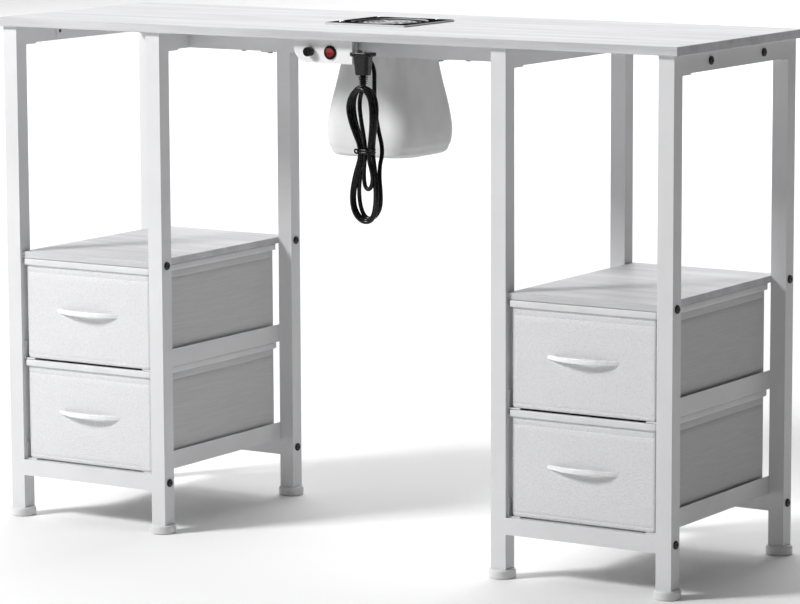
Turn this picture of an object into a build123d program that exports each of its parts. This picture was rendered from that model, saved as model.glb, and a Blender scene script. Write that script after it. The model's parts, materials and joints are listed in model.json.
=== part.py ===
"""Manicure table: two drawer pedestals, a laminate top, and a fan with a dust bag under the middle.

Millimetres. +Z is up, the floor is Z = 0, the user sits on the -Y side, X runs along the top.
"""

from math import atan2, cos, hypot, pi, radians, sin, tan
import os

from build123d import *

os.makedirs("parts", exist_ok=True)

# ---------------------------------------------------------------- driving dimensions
TOP_LENGTH = 1200.0
TOP_DEPTH = 400.0
TOP_THICK = 13.0
TABLE_HEIGHT = 789.0
TOP_UNDER = TABLE_HEIGHT - TOP_THICK

TUBE = 25.0
TUBE_WALL = 1.5
POST_FRONT_Y = -192.0
POST_REAR_Y = 163.0
OUTER_FACE_X = 591.0
INNER_FACE_X = 293.0
FOOT_HEIGHT = 14.0
FOOT_DIA = 40.0
STEM_DIA = 8.0
STEM_LENGTH = 34.0
INSERT_LENGTH = 26.0
FOOT_TRAVEL = 10.0

RAIL_HEIGHT = 28.0
SHOE_LENGTH = 9.0
SHOE_LEDGE = 25.0
SHEET = 2.0

CROSS_RAIL_Z = 66.5
ANGLE_HEIGHT = 28.0
ANGLE_LEG = 20.0
ANGLE_INSET = 6.5
LOW_ANGLE_Z = CROSS_RAIL_Z + TUBE
MID_ANGLE_Z = 252.0
SHELF_Z = 412.5
SHELF_THICK = 10.0
SHELF_INSET = 6.5
SHELF_REAR_Y = 188.0

BEAM_FRONT_Y = -111.7
BEAM_WIDTH = 25.0
STRAP_X = 152.0
STRAP_WIDTH = 18.0

DRAWER_HEIGHT = 157.5
RIM_WIDTH = 243.0
RIM_DEPTH = 348.5
RIM_HEIGHT = 10.0
RIM_FRONT_Y = -187.5
RIM_PROUD = 4.0
BIN_WALL = 3.0
BIN_CORNER = 2.5
BOARD_THICK = 3.0
HANDLE_LENGTH = 120.0
HANDLE_RISE = 16.0
HANDLE_HEIGHT = 8.0
HANDLE_THICK = 4.5

BOLT_DIA = 6.0
BOLT_HEAD = 12.5
BOLT_HEAD_HIGH = 3.0
SHELF_SCREW_DIA = 5.0
BRACKET_Y = 82.6
BRACKET_LEG = 25.0
BRACKET_WIDTH = 18.0
WOOD_SCREW_DIA = 4.0

FAN_SIZE = 120.0
FAN_DEPTH = 25.0
FAN_BORE = 115.0
FAN_PITCH = 105.0
FAN_HUB = 40.0
FAN_BLADES = 7
PORT_DIA = 112.0
GRILLE_SIZE = 138.0
GRILLE_TRIM = 3.0
GRILLE_THICK = 3.0
GUARD_DIA = 118.0
GUARD_THICK = 1.6

BAG_NECK = 120.4
BAG_WIDE = 152.0
BAG_BOTTOM = 590.0
BAG_CLOTH = 1.2

PANEL_LEFT_X = -53.5
PANEL_RIGHT_X = 50.0
PANEL_Y = -182.0
PANEL_Z = 741.0
PANEL_SHEET = 1.5
PANEL_CORNER = 24.0
PANEL_FLANGE = 24.0
PANEL_RETURN = 7.0
KNOB_X = -23.5
KNOB_Z = 757.5
KNOB_DIA = 14.0
KNOB_LENGTH = 11.0
SWITCH_X = 11.5
SWITCH_Z = 757.0
SWITCH_BEZEL = 21.0

CORD_DIA = 6.4
LEAD_DIA = 4.0
PLUG_X = 68.8
PLUG_Y = -182.0
PLUG_TOP = 759.6
HANK_TOP = 713.0
HANK_Y = -180.0
HANK_THICK = 20.0


def save(shape, name):
    """Label one piece and write it to its own file."""
    shape.label = name
    export_step(shape, f"parts/{name}.step")


def gather(pieces):
    """Keep touching solids apart in one shape."""
    return Compound(children=[solid for piece in pieces for solid in piece.solids()])


def block(x_range, y_range, z_range):
    """A plain rectangular block between six faces."""
    width = x_range[1] - x_range[0]
    depth = y_range[1] - y_range[0]
    with BuildPart() as made:
        with BuildSketch(Plane.XY.offset(z_range[0])):
            with Locations(((x_range[0] + x_range[1]) / 2, (y_range[0] + y_range[1]) / 2)):
                Rectangle(width, depth)
        extrude(amount=z_range[1] - z_range[0])
    return made.part


def rod_x(x_start, x_end, y, z, diameter):
    """A round bar along X."""
    with BuildPart() as made:
        with BuildSketch(Plane(origin=(x_start, y, z), x_dir=(0, 1, 0), z_dir=(1, 0, 0))):
            Circle(diameter / 2)
        extrude(amount=x_end - x_start)
    return made.part


def rod_z(x, y, z_start, z_end, diameter):
    """A round bar along Z."""
    with BuildPart() as made:
        with BuildSketch(Plane.XY.offset(z_start)):
            with Locations((x, y)):
                Circle(diameter / 2)
        extrude(amount=z_end - z_start)
    return made.part


def post(x_low, y_low, bolt_levels):
    """A square leg tube with its cross bolt holes."""
    centre_x = x_low + TUBE / 2
    centre_y = y_low + TUBE / 2
    with BuildPart() as made:
        with BuildSketch(Plane.XY.offset(FOOT_HEIGHT)):
            with Locations((centre_x, centre_y)):
                Rectangle(TUBE, TUBE)
                Rectangle(TUBE - 2 * TUBE_WALL, TUBE - 2 * TUBE_WALL, mode=Mode.SUBTRACT)
        extrude(amount=TOP_UNDER - FOOT_HEIGHT)
        for level, diameter in bolt_levels:
            with BuildSketch(Plane(origin=(x_low - 1, centre_y, level), x_dir=(0, 1, 0), z_dir=(1, 0, 0))):
                Circle(diameter / 2)
            extrude(amount=TUBE + 2, mode=Mode.SUBTRACT)
    return made.part


def angle_rail(wall_x, inward, z_low):
    """The two legs of an L rail; the upright leg lies on the inner faces of a frame's posts."""
    y_range = (POST_FRONT_Y + ANGLE_INSET, POST_REAR_Y + TUBE - ANGLE_INSET)
    upright_x = sorted((wall_x, wall_x + inward * SHEET))
    ledge_x = sorted((wall_x + inward * SHEET, wall_x + inward * ANGLE_LEG))
    upright = block(upright_x, y_range, (z_low, z_low + ANGLE_HEIGHT))
    ledge = block(ledge_x, y_range, (z_low, z_low + SHEET))
    return [upright, ledge]


def corner_shoe(x_low, y_post, towards):
    """The socket between a post and the top rail, with its ledge under the rail."""
    y_ledge = y_post + towards * SHOE_LEDGE
    y_block = y_post + towards * SHOE_LENGTH
    rail_low = TOP_UNDER - RAIL_HEIGHT
    x_range = (x_low, x_low + TUBE)
    upright = block(x_range, sorted((y_post, y_block)), (rail_low, TOP_UNDER))
    ledge = block(x_range, sorted((y_post, y_ledge)), (rail_low - SHEET, rail_low))
    return [upright, ledge]


def top_rail(x_low, bolt_ys):
    """The hollow rail under the top's end, drilled through for its bolts."""
    y_low = POST_FRONT_Y + TUBE + SHOE_LENGTH
    y_high = POST_REAR_Y - SHOE_LENGTH
    rail_low = TOP_UNDER - RAIL_HEIGHT
    middle = (x_low + TUBE / 2, rail_low + RAIL_HEIGHT / 2)
    with BuildPart() as made:
        with BuildSketch(Plane(origin=(0, y_low, 0), x_dir=(1, 0, 0), z_dir=(0, 1, 0))):
            with Locations((middle[0], -middle[1])):
                Rectangle(TUBE, RAIL_HEIGHT)
                Rectangle(TUBE - 2 * TUBE_WALL, RAIL_HEIGHT - 2 * TUBE_WALL, mode=Mode.SUBTRACT)
        extrude(amount=y_high - y_low)
        for y in bolt_ys:
            with BuildSketch(Plane(origin=(x_low - 1, y, middle[1]), x_dir=(0, 1, 0), z_dir=(1, 0, 0))):
                Circle(BOLT_DIA / 2)
            extrude(amount=TUBE + 2, mode=Mode.SUBTRACT)
    return made.part


SHELF_LEVEL = SHELF_Z + SHELF_THICK / 2
CROSS_LEVEL = CROSS_RAIL_Z + TUBE / 2
RAIL_LEVEL = TOP_UNDER - RAIL_HEIGHT / 2
POST_CENTRES_Y = (POST_FRONT_Y + TUBE / 2, POST_REAR_Y + TUBE / 2)
BEAM_CENTRES_Y = (BEAM_FRONT_Y + BEAM_WIDTH / 2, -BEAM_FRONT_Y - BEAM_WIDTH / 2)
BEAM_SCREW_X = 200.0

# ---------------------------------------------------------------- welded side frames
# name, low X of its tubes, side of the posts that the drawers run on, bolts of the top rail
FRAMES = (
    ("outer_left_frame", -OUTER_FACE_X, 1, (-BRACKET_Y, BRACKET_Y)),
    ("inner_left_frame", -INNER_FACE_X - TUBE, -1, ()),
    ("inner_right_frame", INNER_FACE_X, 1, ()),
    ("outer_right_frame", OUTER_FACE_X - TUBE, -1, (-BRACKET_Y, BRACKET_Y)),
)
for frame_name, low_x, drawer_side, rail_bolts in FRAMES:
    wall_x = low_x + TUBE if drawer_side > 0 else low_x
    holes = ((SHELF_LEVEL, SHELF_SCREW_DIA), (CROSS_LEVEL, BOLT_DIA))
    members = [
        post(low_x, POST_FRONT_Y, holes),
        post(low_x, POST_REAR_Y, holes),
        top_rail(low_x, rail_bolts),
    ]
    members += corner_shoe(low_x, POST_FRONT_Y + TUBE, 1)
    members += corner_shoe(low_x, POST_REAR_Y, -1)
    members += angle_rail(wall_x, drawer_side, MID_ANGLE_Z)
    members += angle_rail(wall_x, drawer_side, LOW_ANGLE_Z)
    save(gather(members), frame_name)

# ---------------------------------------------------------------- feet and their inserts
FRAME_CENTRES_X = [low_x + TUBE / 2 for _, low_x, _, _ in FRAMES]
inserts = []
FOOT_NAMES = ("outer_left", "inner_left", "inner_right", "outer_right")
for foot_side, foot_x in zip(FOOT_NAMES, FRAME_CENTRES_X):
    for foot_end, foot_y in zip(("front", "rear"), POST_CENTRES_Y):
        inner = TUBE - 2 * TUBE_WALL
        with BuildPart() as insert:
            with BuildSketch(Plane.XY.offset(FOOT_HEIGHT)):
                with Locations((foot_x, foot_y)):
                    Rectangle(inner, inner)
                    Circle(STEM_DIA / 2 + 0.05, mode=Mode.SUBTRACT)
            extrude(amount=INSERT_LENGTH)
        inserts.append(insert.part)

        with BuildPart() as foot:
            with BuildSketch():
                with Locations((foot_x, foot_y)):
                    Circle(FOOT_DIA / 2)
            extrude(amount=FOOT_HEIGHT)
            fillet(foot.edges().group_by(Axis.Z)[-1], 4.0)
            fillet(foot.edges().group_by(Axis.Z)[0], 2.0)
            with BuildSketch(Plane.XY.offset(FOOT_HEIGHT)):
                with Locations((foot_x, foot_y)):
                    Circle(STEM_DIA / 2)
            extrude(amount=STEM_LENGTH)
            chamfer(foot.edges().group_by(Axis.Z)[-1], 1.0)
        save(foot.part, f"{foot_end}_{foot_side}_foot")
save(gather(inserts), "leg_inserts")

# ---------------------------------------------------------------- cross rails, beams, shelves


def bar_x(x_start, x_end, y_low, width, z_low, height, bolt_dia, drop_holes=()):
    """A square bar along X, hollow, with thick ends, tapped where it is bolted, and upright screw holes."""
    y_mid = y_low + width / 2
    z_mid = z_low + height / 2
    end_thick = 4.0
    with BuildPart() as made:
        with BuildSketch(Plane(origin=(x_start, y_mid, z_mid), x_dir=(0, 1, 0), z_dir=(1, 0, 0))):
            Rectangle(width, height)
        extrude(amount=x_end - x_start)
        hollow_start = (x_start + end_thick, y_mid, z_mid)
        with BuildSketch(Plane(origin=hollow_start, x_dir=(0, 1, 0), z_dir=(1, 0, 0))):
            Rectangle(width - 2 * TUBE_WALL, height - 2 * TUBE_WALL)
        extrude(amount=x_end - x_start - 2 * end_thick, mode=Mode.SUBTRACT)
        if bolt_dia:
            with BuildSketch(Plane(origin=(x_start, y_mid, z_mid), x_dir=(0, 1, 0), z_dir=(1, 0, 0))):
                Circle(bolt_dia / 2)
            extrude(amount=x_end - x_start, mode=Mode.SUBTRACT)
        for x in drop_holes:
            with BuildSketch(Plane.XY.offset(z_low)):
                with Locations((x, y_mid)):
                    Circle(WOOD_SCREW_DIA / 2)
            extrude(amount=height, mode=Mode.SUBTRACT)
    return made.part


PEDESTAL_SPANS = {
    "left": (-OUTER_FACE_X + TUBE, -INNER_FACE_X - TUBE),
    "right": (INNER_FACE_X + TUBE, OUTER_FACE_X - TUBE),
}
for side_name, span in PEDESTAL_SPANS.items():
    for end_name, low_y in (("front", POST_FRONT_Y), ("rear", POST_REAR_Y)):
        rail = bar_x(span[0], span[1], low_y, TUBE, CROSS_RAIL_Z, TUBE, BOLT_DIA)
        save(rail, f"{side_name}_{end_name}_cross_rail")

    with BuildPart() as shelf:
        shelf_y = (POST_FRONT_Y + SHELF_INSET, SHELF_REAR_Y)
        add(block(span, shelf_y, (SHELF_Z, SHELF_Z + SHELF_THICK)))
        chamfer(shelf.edges().filter_by(GeomType.LINE).group_by(Axis.Z)[-1], 0.5)
        for hole_y in POST_CENTRES_Y:
            for hole_x, inward in ((span[0], 1), (span[1], -1)):
                mouth = (hole_x, hole_y, SHELF_LEVEL)
                with BuildSketch(Plane(origin=mouth, x_dir=(0, 1, 0), z_dir=(1, 0, 0))):
                    Circle(SHELF_SCREW_DIA / 2)
                extrude(amount=inward * 30.0, mode=Mode.SUBTRACT)
    save(shelf.part, f"{side_name}_shelf")

BEAM_SPAN = (-INNER_FACE_X, INNER_FACE_X)
RAIL_LOW = TOP_UNDER - RAIL_HEIGHT
for end_name, beam_y in zip(("front", "rear"), BEAM_CENTRES_Y):
    drops = (-BEAM_SCREW_X, -STRAP_X, STRAP_X, BEAM_SCREW_X)
    low_y = beam_y - BEAM_WIDTH / 2
    beam = bar_x(*BEAM_SPAN, low_y, BEAM_WIDTH, RAIL_LOW, RAIL_HEIGHT, 0, drops)
    save(beam, f"{end_name}_beam")

with BuildPart() as straps:
    for strap_x in (-STRAP_X, STRAP_X):
        strap_sides = (strap_x - STRAP_WIDTH / 2, strap_x + STRAP_WIDTH / 2)
        add(block(strap_sides, (BEAM_FRONT_Y, -BEAM_FRONT_Y), (RAIL_LOW - SHEET, RAIL_LOW)))
    for strap_x in (-STRAP_X, STRAP_X):
        for beam_y in BEAM_CENTRES_Y:
            with BuildSketch(Plane.XY.offset(RAIL_LOW - SHEET)):
                with Locations((strap_x, beam_y)):
                    Circle(WOOD_SCREW_DIA / 2)
            extrude(amount=SHEET, mode=Mode.SUBTRACT)
save(straps.part, "beam_straps")

# ---------------------------------------------------------------- table top and what holds it down
HALF_PITCH = FAN_PITCH / 2
PANEL_SCREWS_X = (-45.0, 32.0)
PANEL_SCREW_Y = -166.0
PILOT_DEPTH = 10.0
BRACKET_SCREW_X = OUTER_FACE_X - TUBE - 15.0
bracket_spots = [(side * BRACKET_SCREW_X, y) for side in (-1, 1) for y in (-BRACKET_Y, BRACKET_Y)]
beam_spots = [(x, y) for x in (-BEAM_SCREW_X, BEAM_SCREW_X) for y in BEAM_CENTRES_Y]
panel_spots = [(x, PANEL_SCREW_Y) for x in PANEL_SCREWS_X]

with BuildPart() as tabletop:
    with BuildSketch(Plane.XY.offset(TOP_UNDER)):
        Rectangle(TOP_LENGTH, TOP_DEPTH)
    extrude(amount=TOP_THICK)
    chamfer(tabletop.edges(), 0.6)
    with BuildSketch(Plane.XY.offset(TOP_UNDER)):
        Circle(PORT_DIA / 2)
        with GridLocations(FAN_PITCH, FAN_PITCH, 2, 2):
            Circle(WOOD_SCREW_DIA / 2)
    extrude(amount=TOP_THICK, mode=Mode.SUBTRACT)
    with BuildSketch(Plane.XY.offset(TOP_UNDER)):
        with Locations(*(bracket_spots + beam_spots + panel_spots)):
            Circle(WOOD_SCREW_DIA / 2)
    extrude(amount=PILOT_DEPTH, mode=Mode.SUBTRACT)
save(tabletop.part, "tabletop")

brackets = []
for side in (-1, 1):
    face_x = side * (OUTER_FACE_X - TUBE)
    for y in (-BRACKET_Y, BRACKET_Y):
        y_range = (y - BRACKET_WIDTH / 2, y + BRACKET_WIDTH / 2)
        upright_x = sorted((face_x, face_x - side * SHEET))
        flange_x = sorted((face_x, face_x - side * BRACKET_LEG))
        with BuildPart() as bracket:
            add(block(upright_x, y_range, (TOP_UNDER - BRACKET_LEG, TOP_UNDER)))
            add(block(flange_x, y_range, (TOP_UNDER - SHEET, TOP_UNDER)))
            with BuildSketch(Plane.XY.offset(TOP_UNDER - SHEET)):
                with Locations((side * BRACKET_SCREW_X, y)):
                    Circle(WOOD_SCREW_DIA / 2)
            extrude(amount=SHEET, mode=Mode.SUBTRACT)
            with BuildSketch(Plane(origin=(face_x, y, RAIL_LEVEL), x_dir=(0, 1, 0), z_dir=(1, 0, 0))):
                Circle(BOLT_DIA / 2)
            extrude(amount=-side * SHEET, mode=Mode.SUBTRACT)
        brackets.append(bracket.part)
save(gather(brackets), "top_brackets")


def bolt_x(head_face_x, inward, y, z, diameter, length):
    """A button head bolt along X; its head sits on head_face_x and its shank runs inward."""
    normal = (inward, 0, 0)
    with BuildPart() as made:
        with BuildSketch(Plane(origin=(head_face_x, y, z), x_dir=(0, 1, 0), z_dir=normal)):
            Circle(BOLT_HEAD / 2)
        extrude(amount=-BOLT_HEAD_HIGH)
        outer_end = made.edges().group_by(Axis.X)[0 if inward > 0 else -1]
        fillet(outer_end, BOLT_HEAD_HIGH * 0.6)
        with BuildSketch(Plane(origin=(head_face_x, y, z), x_dir=(0, 1, 0), z_dir=normal)):
            Circle(diameter / 2)
        extrude(amount=length)
        socket_x = head_face_x - inward * BOLT_HEAD_HIGH
        with BuildSketch(Plane(origin=(socket_x, y, z), x_dir=(0, 1, 0), z_dir=normal)):
            RegularPolygon(2.3, 6)
        extrude(amount=2.0, mode=Mode.SUBTRACT)
    return made.part


def screw_up(x, y, head_z, length):
    """A pan head wood screw driven upward; its head hangs under head_z."""
    with BuildPart() as made:
        with BuildSketch(Plane.XY.offset(head_z)):
            with Locations((x, y)):
                Circle(WOOD_SCREW_DIA)
        extrude(amount=-2.2)
        fillet(made.edges().group_by(Axis.Z)[0], 1.2)
        with BuildSketch(Plane.XY.offset(head_z)):
            with Locations((x, y)):
                Circle(WOOD_SCREW_DIA / 2)
        extrude(amount=length)
    return made.part


cross_bolts, shelf_screws, rail_bolts_made = [], [], []
RAIL_BOLT_GRIP = TUBE + 14.0
BRACKET_GRIP = TUBE + SHEET
SHELF_GRIP = TUBE + 30.0
for _, low_x, drawer_side, rail_bolt_ys in FRAMES:
    head_x = low_x if drawer_side > 0 else low_x + TUBE
    for y in POST_CENTRES_Y:
        cross_bolts.append(bolt_x(head_x, drawer_side, y, CROSS_LEVEL, BOLT_DIA, RAIL_BOLT_GRIP))
        shelf_screws.append(bolt_x(head_x, drawer_side, y, SHELF_LEVEL, SHELF_SCREW_DIA, SHELF_GRIP))
    top_side = 1 if low_x < 0 else -1
    top_head_x = low_x if top_side > 0 else low_x + TUBE
    for y in rail_bolt_ys:
        rail_bolts_made.append(bolt_x(top_head_x, top_side, y, RAIL_LEVEL, BOLT_DIA, BRACKET_GRIP))
save(gather(cross_bolts + rail_bolts_made), "frame_bolts")
save(gather(shelf_screws), "shelf_bolts")

long_screws = [screw_up(x, y, RAIL_LOW, RAIL_HEIGHT + PILOT_DEPTH) for x, y in beam_spots]
short_screws = [screw_up(x, y, TOP_UNDER - SHEET, SHEET + PILOT_DEPTH) for x, y in bracket_spots]
strap_screws = [screw_up(x, y, RAIL_LOW - SHEET, 12.0) for x in (-STRAP_X, STRAP_X) for y in BEAM_CENTRES_Y]
panel_screws = [screw_up(x, y, TOP_UNDER - PANEL_SHEET, PANEL_SHEET + 8.0) for x, y in panel_spots]
save(gather(long_screws + short_screws + strap_screws + panel_screws), "underside_screws")

# ---------------------------------------------------------------- fabric drawers
RUN_CLEAR = 0.3
LEVELS = {"lower": LOW_ANGLE_Z + SHEET + RUN_CLEAR, "upper": MID_ANGLE_Z + SHEET + RUN_CLEAR}
BIN_FRONT_Y = RIM_FRONT_Y + RIM_PROUD
BIN_DEPTH = RIM_DEPTH - 2 * RIM_PROUD
BIN_WIDTH = RIM_WIDTH - 2 * RIM_PROUD
BIN_HEIGHT = DRAWER_HEIGHT - RIM_HEIGHT
HANDLE_SCREW_X = HANDLE_LENGTH / 2 - 5.0


def four_strips(ring, y_front, y_rear):
    """A rectangular ring, open at both ends, cut into its front, rear and two side strips."""
    with BuildPart() as strips:
        add(ring)
        for y in (y_front, y_rear):
            split(bisect_by=Plane(origin=(0, y, 0), z_dir=(0, 1, 0)), keep=Keep.BOTH)
    return strips.part


def drawer_pieces(centre_x, low_z):
    """The fabric box of board-stiffened walls, the rim, and the bow handle with its screws."""
    mid_y = BIN_FRONT_Y + BIN_DEPTH / 2
    handle_z = low_z + DRAWER_HEIGHT / 2
    screw_spots = [(centre_x + side * HANDLE_SCREW_X, handle_z) for side in (-1, 1)]
    inner_y = (BIN_FRONT_Y + BIN_WALL, BIN_FRONT_Y + BIN_DEPTH - BIN_WALL)
    with BuildPart() as under:
        with BuildSketch(Plane.XY.offset(low_z)):
            with Locations((centre_x, mid_y)):
                RectangleRounded(BIN_WIDTH, BIN_DEPTH, BIN_CORNER)
        extrude(amount=BIN_WALL)
    with BuildPart() as walls:
        with BuildSketch(Plane.XY.offset(low_z + BIN_WALL)):
            with Locations((centre_x, mid_y)):
                RectangleRounded(BIN_WIDTH, BIN_DEPTH, BIN_CORNER)
                Rectangle(BIN_WIDTH - 2 * BIN_WALL, BIN_DEPTH - 2 * BIN_WALL, mode=Mode.SUBTRACT)
        extrude(amount=BIN_HEIGHT - BIN_WALL)
        for x, z in screw_spots:
            with BuildSketch(Plane(origin=(x, BIN_FRONT_Y, z), x_dir=(1, 0, 0), z_dir=(0, 1, 0))):
                Circle(WOOD_SCREW_DIA / 2)
            extrude(amount=BIN_WALL, mode=Mode.SUBTRACT)
    inner_x = (centre_x - BIN_WIDTH / 2 + BIN_WALL, centre_x + BIN_WIDTH / 2 - BIN_WALL)
    board = block(inner_x, inner_y, (low_z + BIN_WALL, low_z + BIN_WALL + BOARD_THICK))
    with BuildPart() as rim:
        with BuildSketch(Plane.XY.offset(low_z + BIN_HEIGHT)):
            with Locations((centre_x, mid_y)):
                RectangleRounded(RIM_WIDTH, RIM_DEPTH, 4.0)
                Rectangle(BIN_WIDTH - 2 * BIN_WALL, BIN_DEPTH - 2 * BIN_WALL, mode=Mode.SUBTRACT)
        extrude(amount=RIM_HEIGHT)
        outer_face = rim.faces().sort_by(Axis.Z)[-1]
        fillet(outer_face.outer_wire().edges(), 1.5)
    half = HANDLE_LENGTH / 2
    inner_half = half - 12.0
    with BuildPart() as bow:
        bow_plane = Plane((centre_x, BIN_FRONT_Y, handle_z - HANDLE_HEIGHT / 2))
        with BuildSketch(bow_plane):
            with BuildLine():
                ThreePointArc((-half, 0), (0, -HANDLE_RISE), (half, 0))
                Line((half, 0), (inner_half, 0))
                ThreePointArc((inner_half, 0), (0, -HANDLE_RISE + HANDLE_THICK), (-inner_half, 0))
                Line((-inner_half, 0), (-half, 0))
            make_face()
        extrude(amount=HANDLE_HEIGHT)
        for x, z in screw_spots:
            with BuildSketch(Plane(origin=(x, BIN_FRONT_Y, z), x_dir=(1, 0, 0), z_dir=(0, -1, 0))):
                Circle(WOOD_SCREW_DIA / 4)
            extrude(amount=2.0, mode=Mode.SUBTRACT)
    screws = []
    for x, z in screw_spots:
        inside_y = BIN_FRONT_Y + BIN_WALL
        with BuildPart() as screw:
            with BuildSketch(Plane(origin=(x, inside_y, z), x_dir=(1, 0, 0), z_dir=(0, 1, 0))):
                Circle(WOOD_SCREW_DIA)
            extrude(amount=2.0)
            with BuildSketch(Plane(origin=(x, inside_y, z), x_dir=(1, 0, 0), z_dir=(0, -1, 0))):
                Circle(WOOD_SCREW_DIA / 2)
            extrude(amount=BIN_WALL)
            with BuildSketch(Plane(origin=(x, BIN_FRONT_Y, z), x_dir=(1, 0, 0), z_dir=(0, -1, 0))):
                Circle(WOOD_SCREW_DIA / 4)
            extrude(amount=2.0)
        screws.append(screw.part)
    fabric = gather([under.part, four_strips(walls.part, *inner_y), board])
    return fabric, gather([four_strips(rim.part, *inner_y)]), gather([bow.part] + screws)


for side_name, span in PEDESTAL_SPANS.items():
    for level_name, low_z in LEVELS.items():
        box, rim_part, handle = drawer_pieces((span[0] + span[1]) / 2, low_z)
        save(box, f"{level_name}_{side_name}_drawer_box")
        save(rim_part, f"{level_name}_{side_name}_drawer_rim")
        save(handle, f"{level_name}_{side_name}_drawer_handle")

# ---------------------------------------------------------------- dust port, fan and bag
with BuildPart() as grille:
    with BuildSketch(Plane.XY.offset(TABLE_HEIGHT)):
        outer = GRILLE_SIZE + 2 * GRILLE_TRIM
        RectangleRounded(outer, outer, 3.0)
        Circle(GUARD_DIA / 2, mode=Mode.SUBTRACT)
        with GridLocations(FAN_PITCH, FAN_PITCH, 2, 2):
            Circle(WOOD_SCREW_DIA / 2, mode=Mode.SUBTRACT)
    extrude(amount=GRILLE_THICK)
    top_face = grille.faces().sort_by(Axis.Z)[-1]
    chamfer(top_face.outer_wire().edges(), 1.0)
save(grille.part, "grille_plate")

GUARD_RINGS = (14.0, 22.0, 30.0, 38.0, 46.0)
with BuildPart() as guard:
    with BuildSketch(Plane.XY.offset(TABLE_HEIGHT)):
        Circle(GUARD_DIA / 2 - 0.1)
        Circle(PORT_DIA / 2 - 1.5, mode=Mode.SUBTRACT)
        for radius in GUARD_RINGS:
            with BuildSketch(mode=Mode.ADD):
                Circle(radius + 1.0)
                Circle(radius - 1.0, mode=Mode.SUBTRACT)
        Circle(8.0)
        for turn in (45, 135):
            Rectangle(PORT_DIA, 2.4, rotation=turn)
    extrude(amount=GUARD_THICK)
save(guard.part, "finger_guard")

FAN_LOW = TOP_UNDER - FAN_DEPTH
with BuildPart() as fan_frame:
    with BuildSketch(Plane.XY.offset(FAN_LOW)):
        RectangleRounded(FAN_SIZE, FAN_SIZE, 6.0)
        Circle(FAN_BORE / 2, mode=Mode.SUBTRACT)
        with GridLocations(FAN_PITCH, FAN_PITCH, 2, 2):
            Circle(WOOD_SCREW_DIA / 2, mode=Mode.SUBTRACT)
    extrude(amount=FAN_DEPTH)
    with BuildSketch(Plane.XY.offset(FAN_LOW)):
        Circle(FAN_HUB / 2)
        with PolarLocations(FAN_BORE / 4 + 2, 4, start_angle=45):
            Rectangle(FAN_BORE / 2 + 3, 5.0)
    extrude(amount=3.0)
save(fan_frame.part, "fan_frame")

MOTOR_LOW = FAN_LOW + 3.0
SHAFT_DIA = 5.0
with BuildPart() as motor:
    with BuildSketch(Plane.XY.offset(MOTOR_LOW)):
        Circle(14.0)
        Circle(SHAFT_DIA / 2 + 0.05, mode=Mode.SUBTRACT)
    extrude(amount=15.0)
save(motor.part, "fan_motor")

BLADE_ROOT = 16.5
BLADE_TIP = 55.0
with BuildPart() as rotor:
    with BuildSketch(Plane.XY.offset(MOTOR_LOW + 1.0)):
        Circle(FAN_HUB / 2)
        Circle(FAN_HUB / 2 - 2.0, mode=Mode.SUBTRACT)
    extrude(amount=17.0)
    with BuildSketch(Plane.XY.offset(MOTOR_LOW + 18.0)):
        Circle(FAN_HUB / 2)
    extrude(amount=2.0)
    with BuildSketch(Plane.XY.offset(MOTOR_LOW + 0.5)):
        Circle(SHAFT_DIA / 2)
    extrude(amount=18.0)
    for number in range(FAN_BLADES):
        turn = 2 * pi * number / FAN_BLADES
        outward = (cos(turn), sin(turn), 0)
        across = (-sin(turn) * cos(radians(35)), cos(turn) * cos(radians(35)), sin(radians(35)))
        root = (BLADE_ROOT * cos(turn), BLADE_ROOT * sin(turn), MOTOR_LOW + 10.0)
        with BuildSketch(Plane(origin=root, x_dir=across, z_dir=outward)):
            Rectangle(26.0, 1.8)
        extrude(amount=BLADE_TIP - BLADE_ROOT)
save(rotor.part, "fan_rotor")

fan_screws, fan_nuts = [], []
for x in (-HALF_PITCH, HALF_PITCH):
    for y in (-HALF_PITCH, HALF_PITCH):
        with BuildPart() as fan_screw:
            with BuildSketch(Plane.XY.offset(TABLE_HEIGHT + GRILLE_THICK)):
                with Locations((x, y)):
                    Circle(4.0)
            extrude(amount=2.2)
            fillet(fan_screw.edges().group_by(Axis.Z)[-1], 1.4)
            with BuildSketch(Plane.XY.offset(TABLE_HEIGHT + GRILLE_THICK)):
                with Locations((x, y)):
                    Circle(WOOD_SCREW_DIA / 2)
            extrude(amount=-(TABLE_HEIGHT + GRILLE_THICK - FAN_LOW + 4.0))
        fan_screws.append(fan_screw.part)
        with BuildPart() as fan_nut:
            with BuildSketch(Plane.XY.offset(FAN_LOW)):
                with Locations((x, y)):
                    RegularPolygon(4.0, 6)
                    Circle(WOOD_SCREW_DIA / 2, mode=Mode.SUBTRACT)
            extrude(amount=-3.2)
        fan_nuts.append(fan_nut.part)
save(gather(fan_screws), "fan_screws")
save(gather(fan_nuts), "fan_nuts")

NECK_TOP = TOP_UNDER - 8.0
NECK_LOW = FAN_LOW - 6.0
BAG_SECTIONS = (
    (NECK_LOW, FAN_SIZE, 6.0),
    (700.0, 135.0, 16.0),
    (650.0, 147.0, 22.0),
    (BAG_BOTTOM, BAG_WIDE, 26.0),
)


def bag_body(grow, bottom_lift, round_off):
    """The bag's outside (grow > 0) or its hollow (grow = 0), neck included."""
    with BuildPart() as made:
        for z, size, corner in BAG_SECTIONS:
            level = z + bottom_lift if z == BAG_BOTTOM else z
            with BuildSketch(Plane.XY.offset(level)):
                RectangleRounded(size + 2 * grow, size + 2 * grow, corner + grow)
        loft()
        fillet(made.edges().group_by(Axis.Z)[0], round_off)
        with BuildSketch(Plane.XY.offset(NECK_LOW)):
            RectangleRounded(FAN_SIZE + 2 * grow, FAN_SIZE + 2 * grow, 6.0 + grow)
        extrude(amount=NECK_TOP - NECK_LOW)
    return made.part


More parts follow.
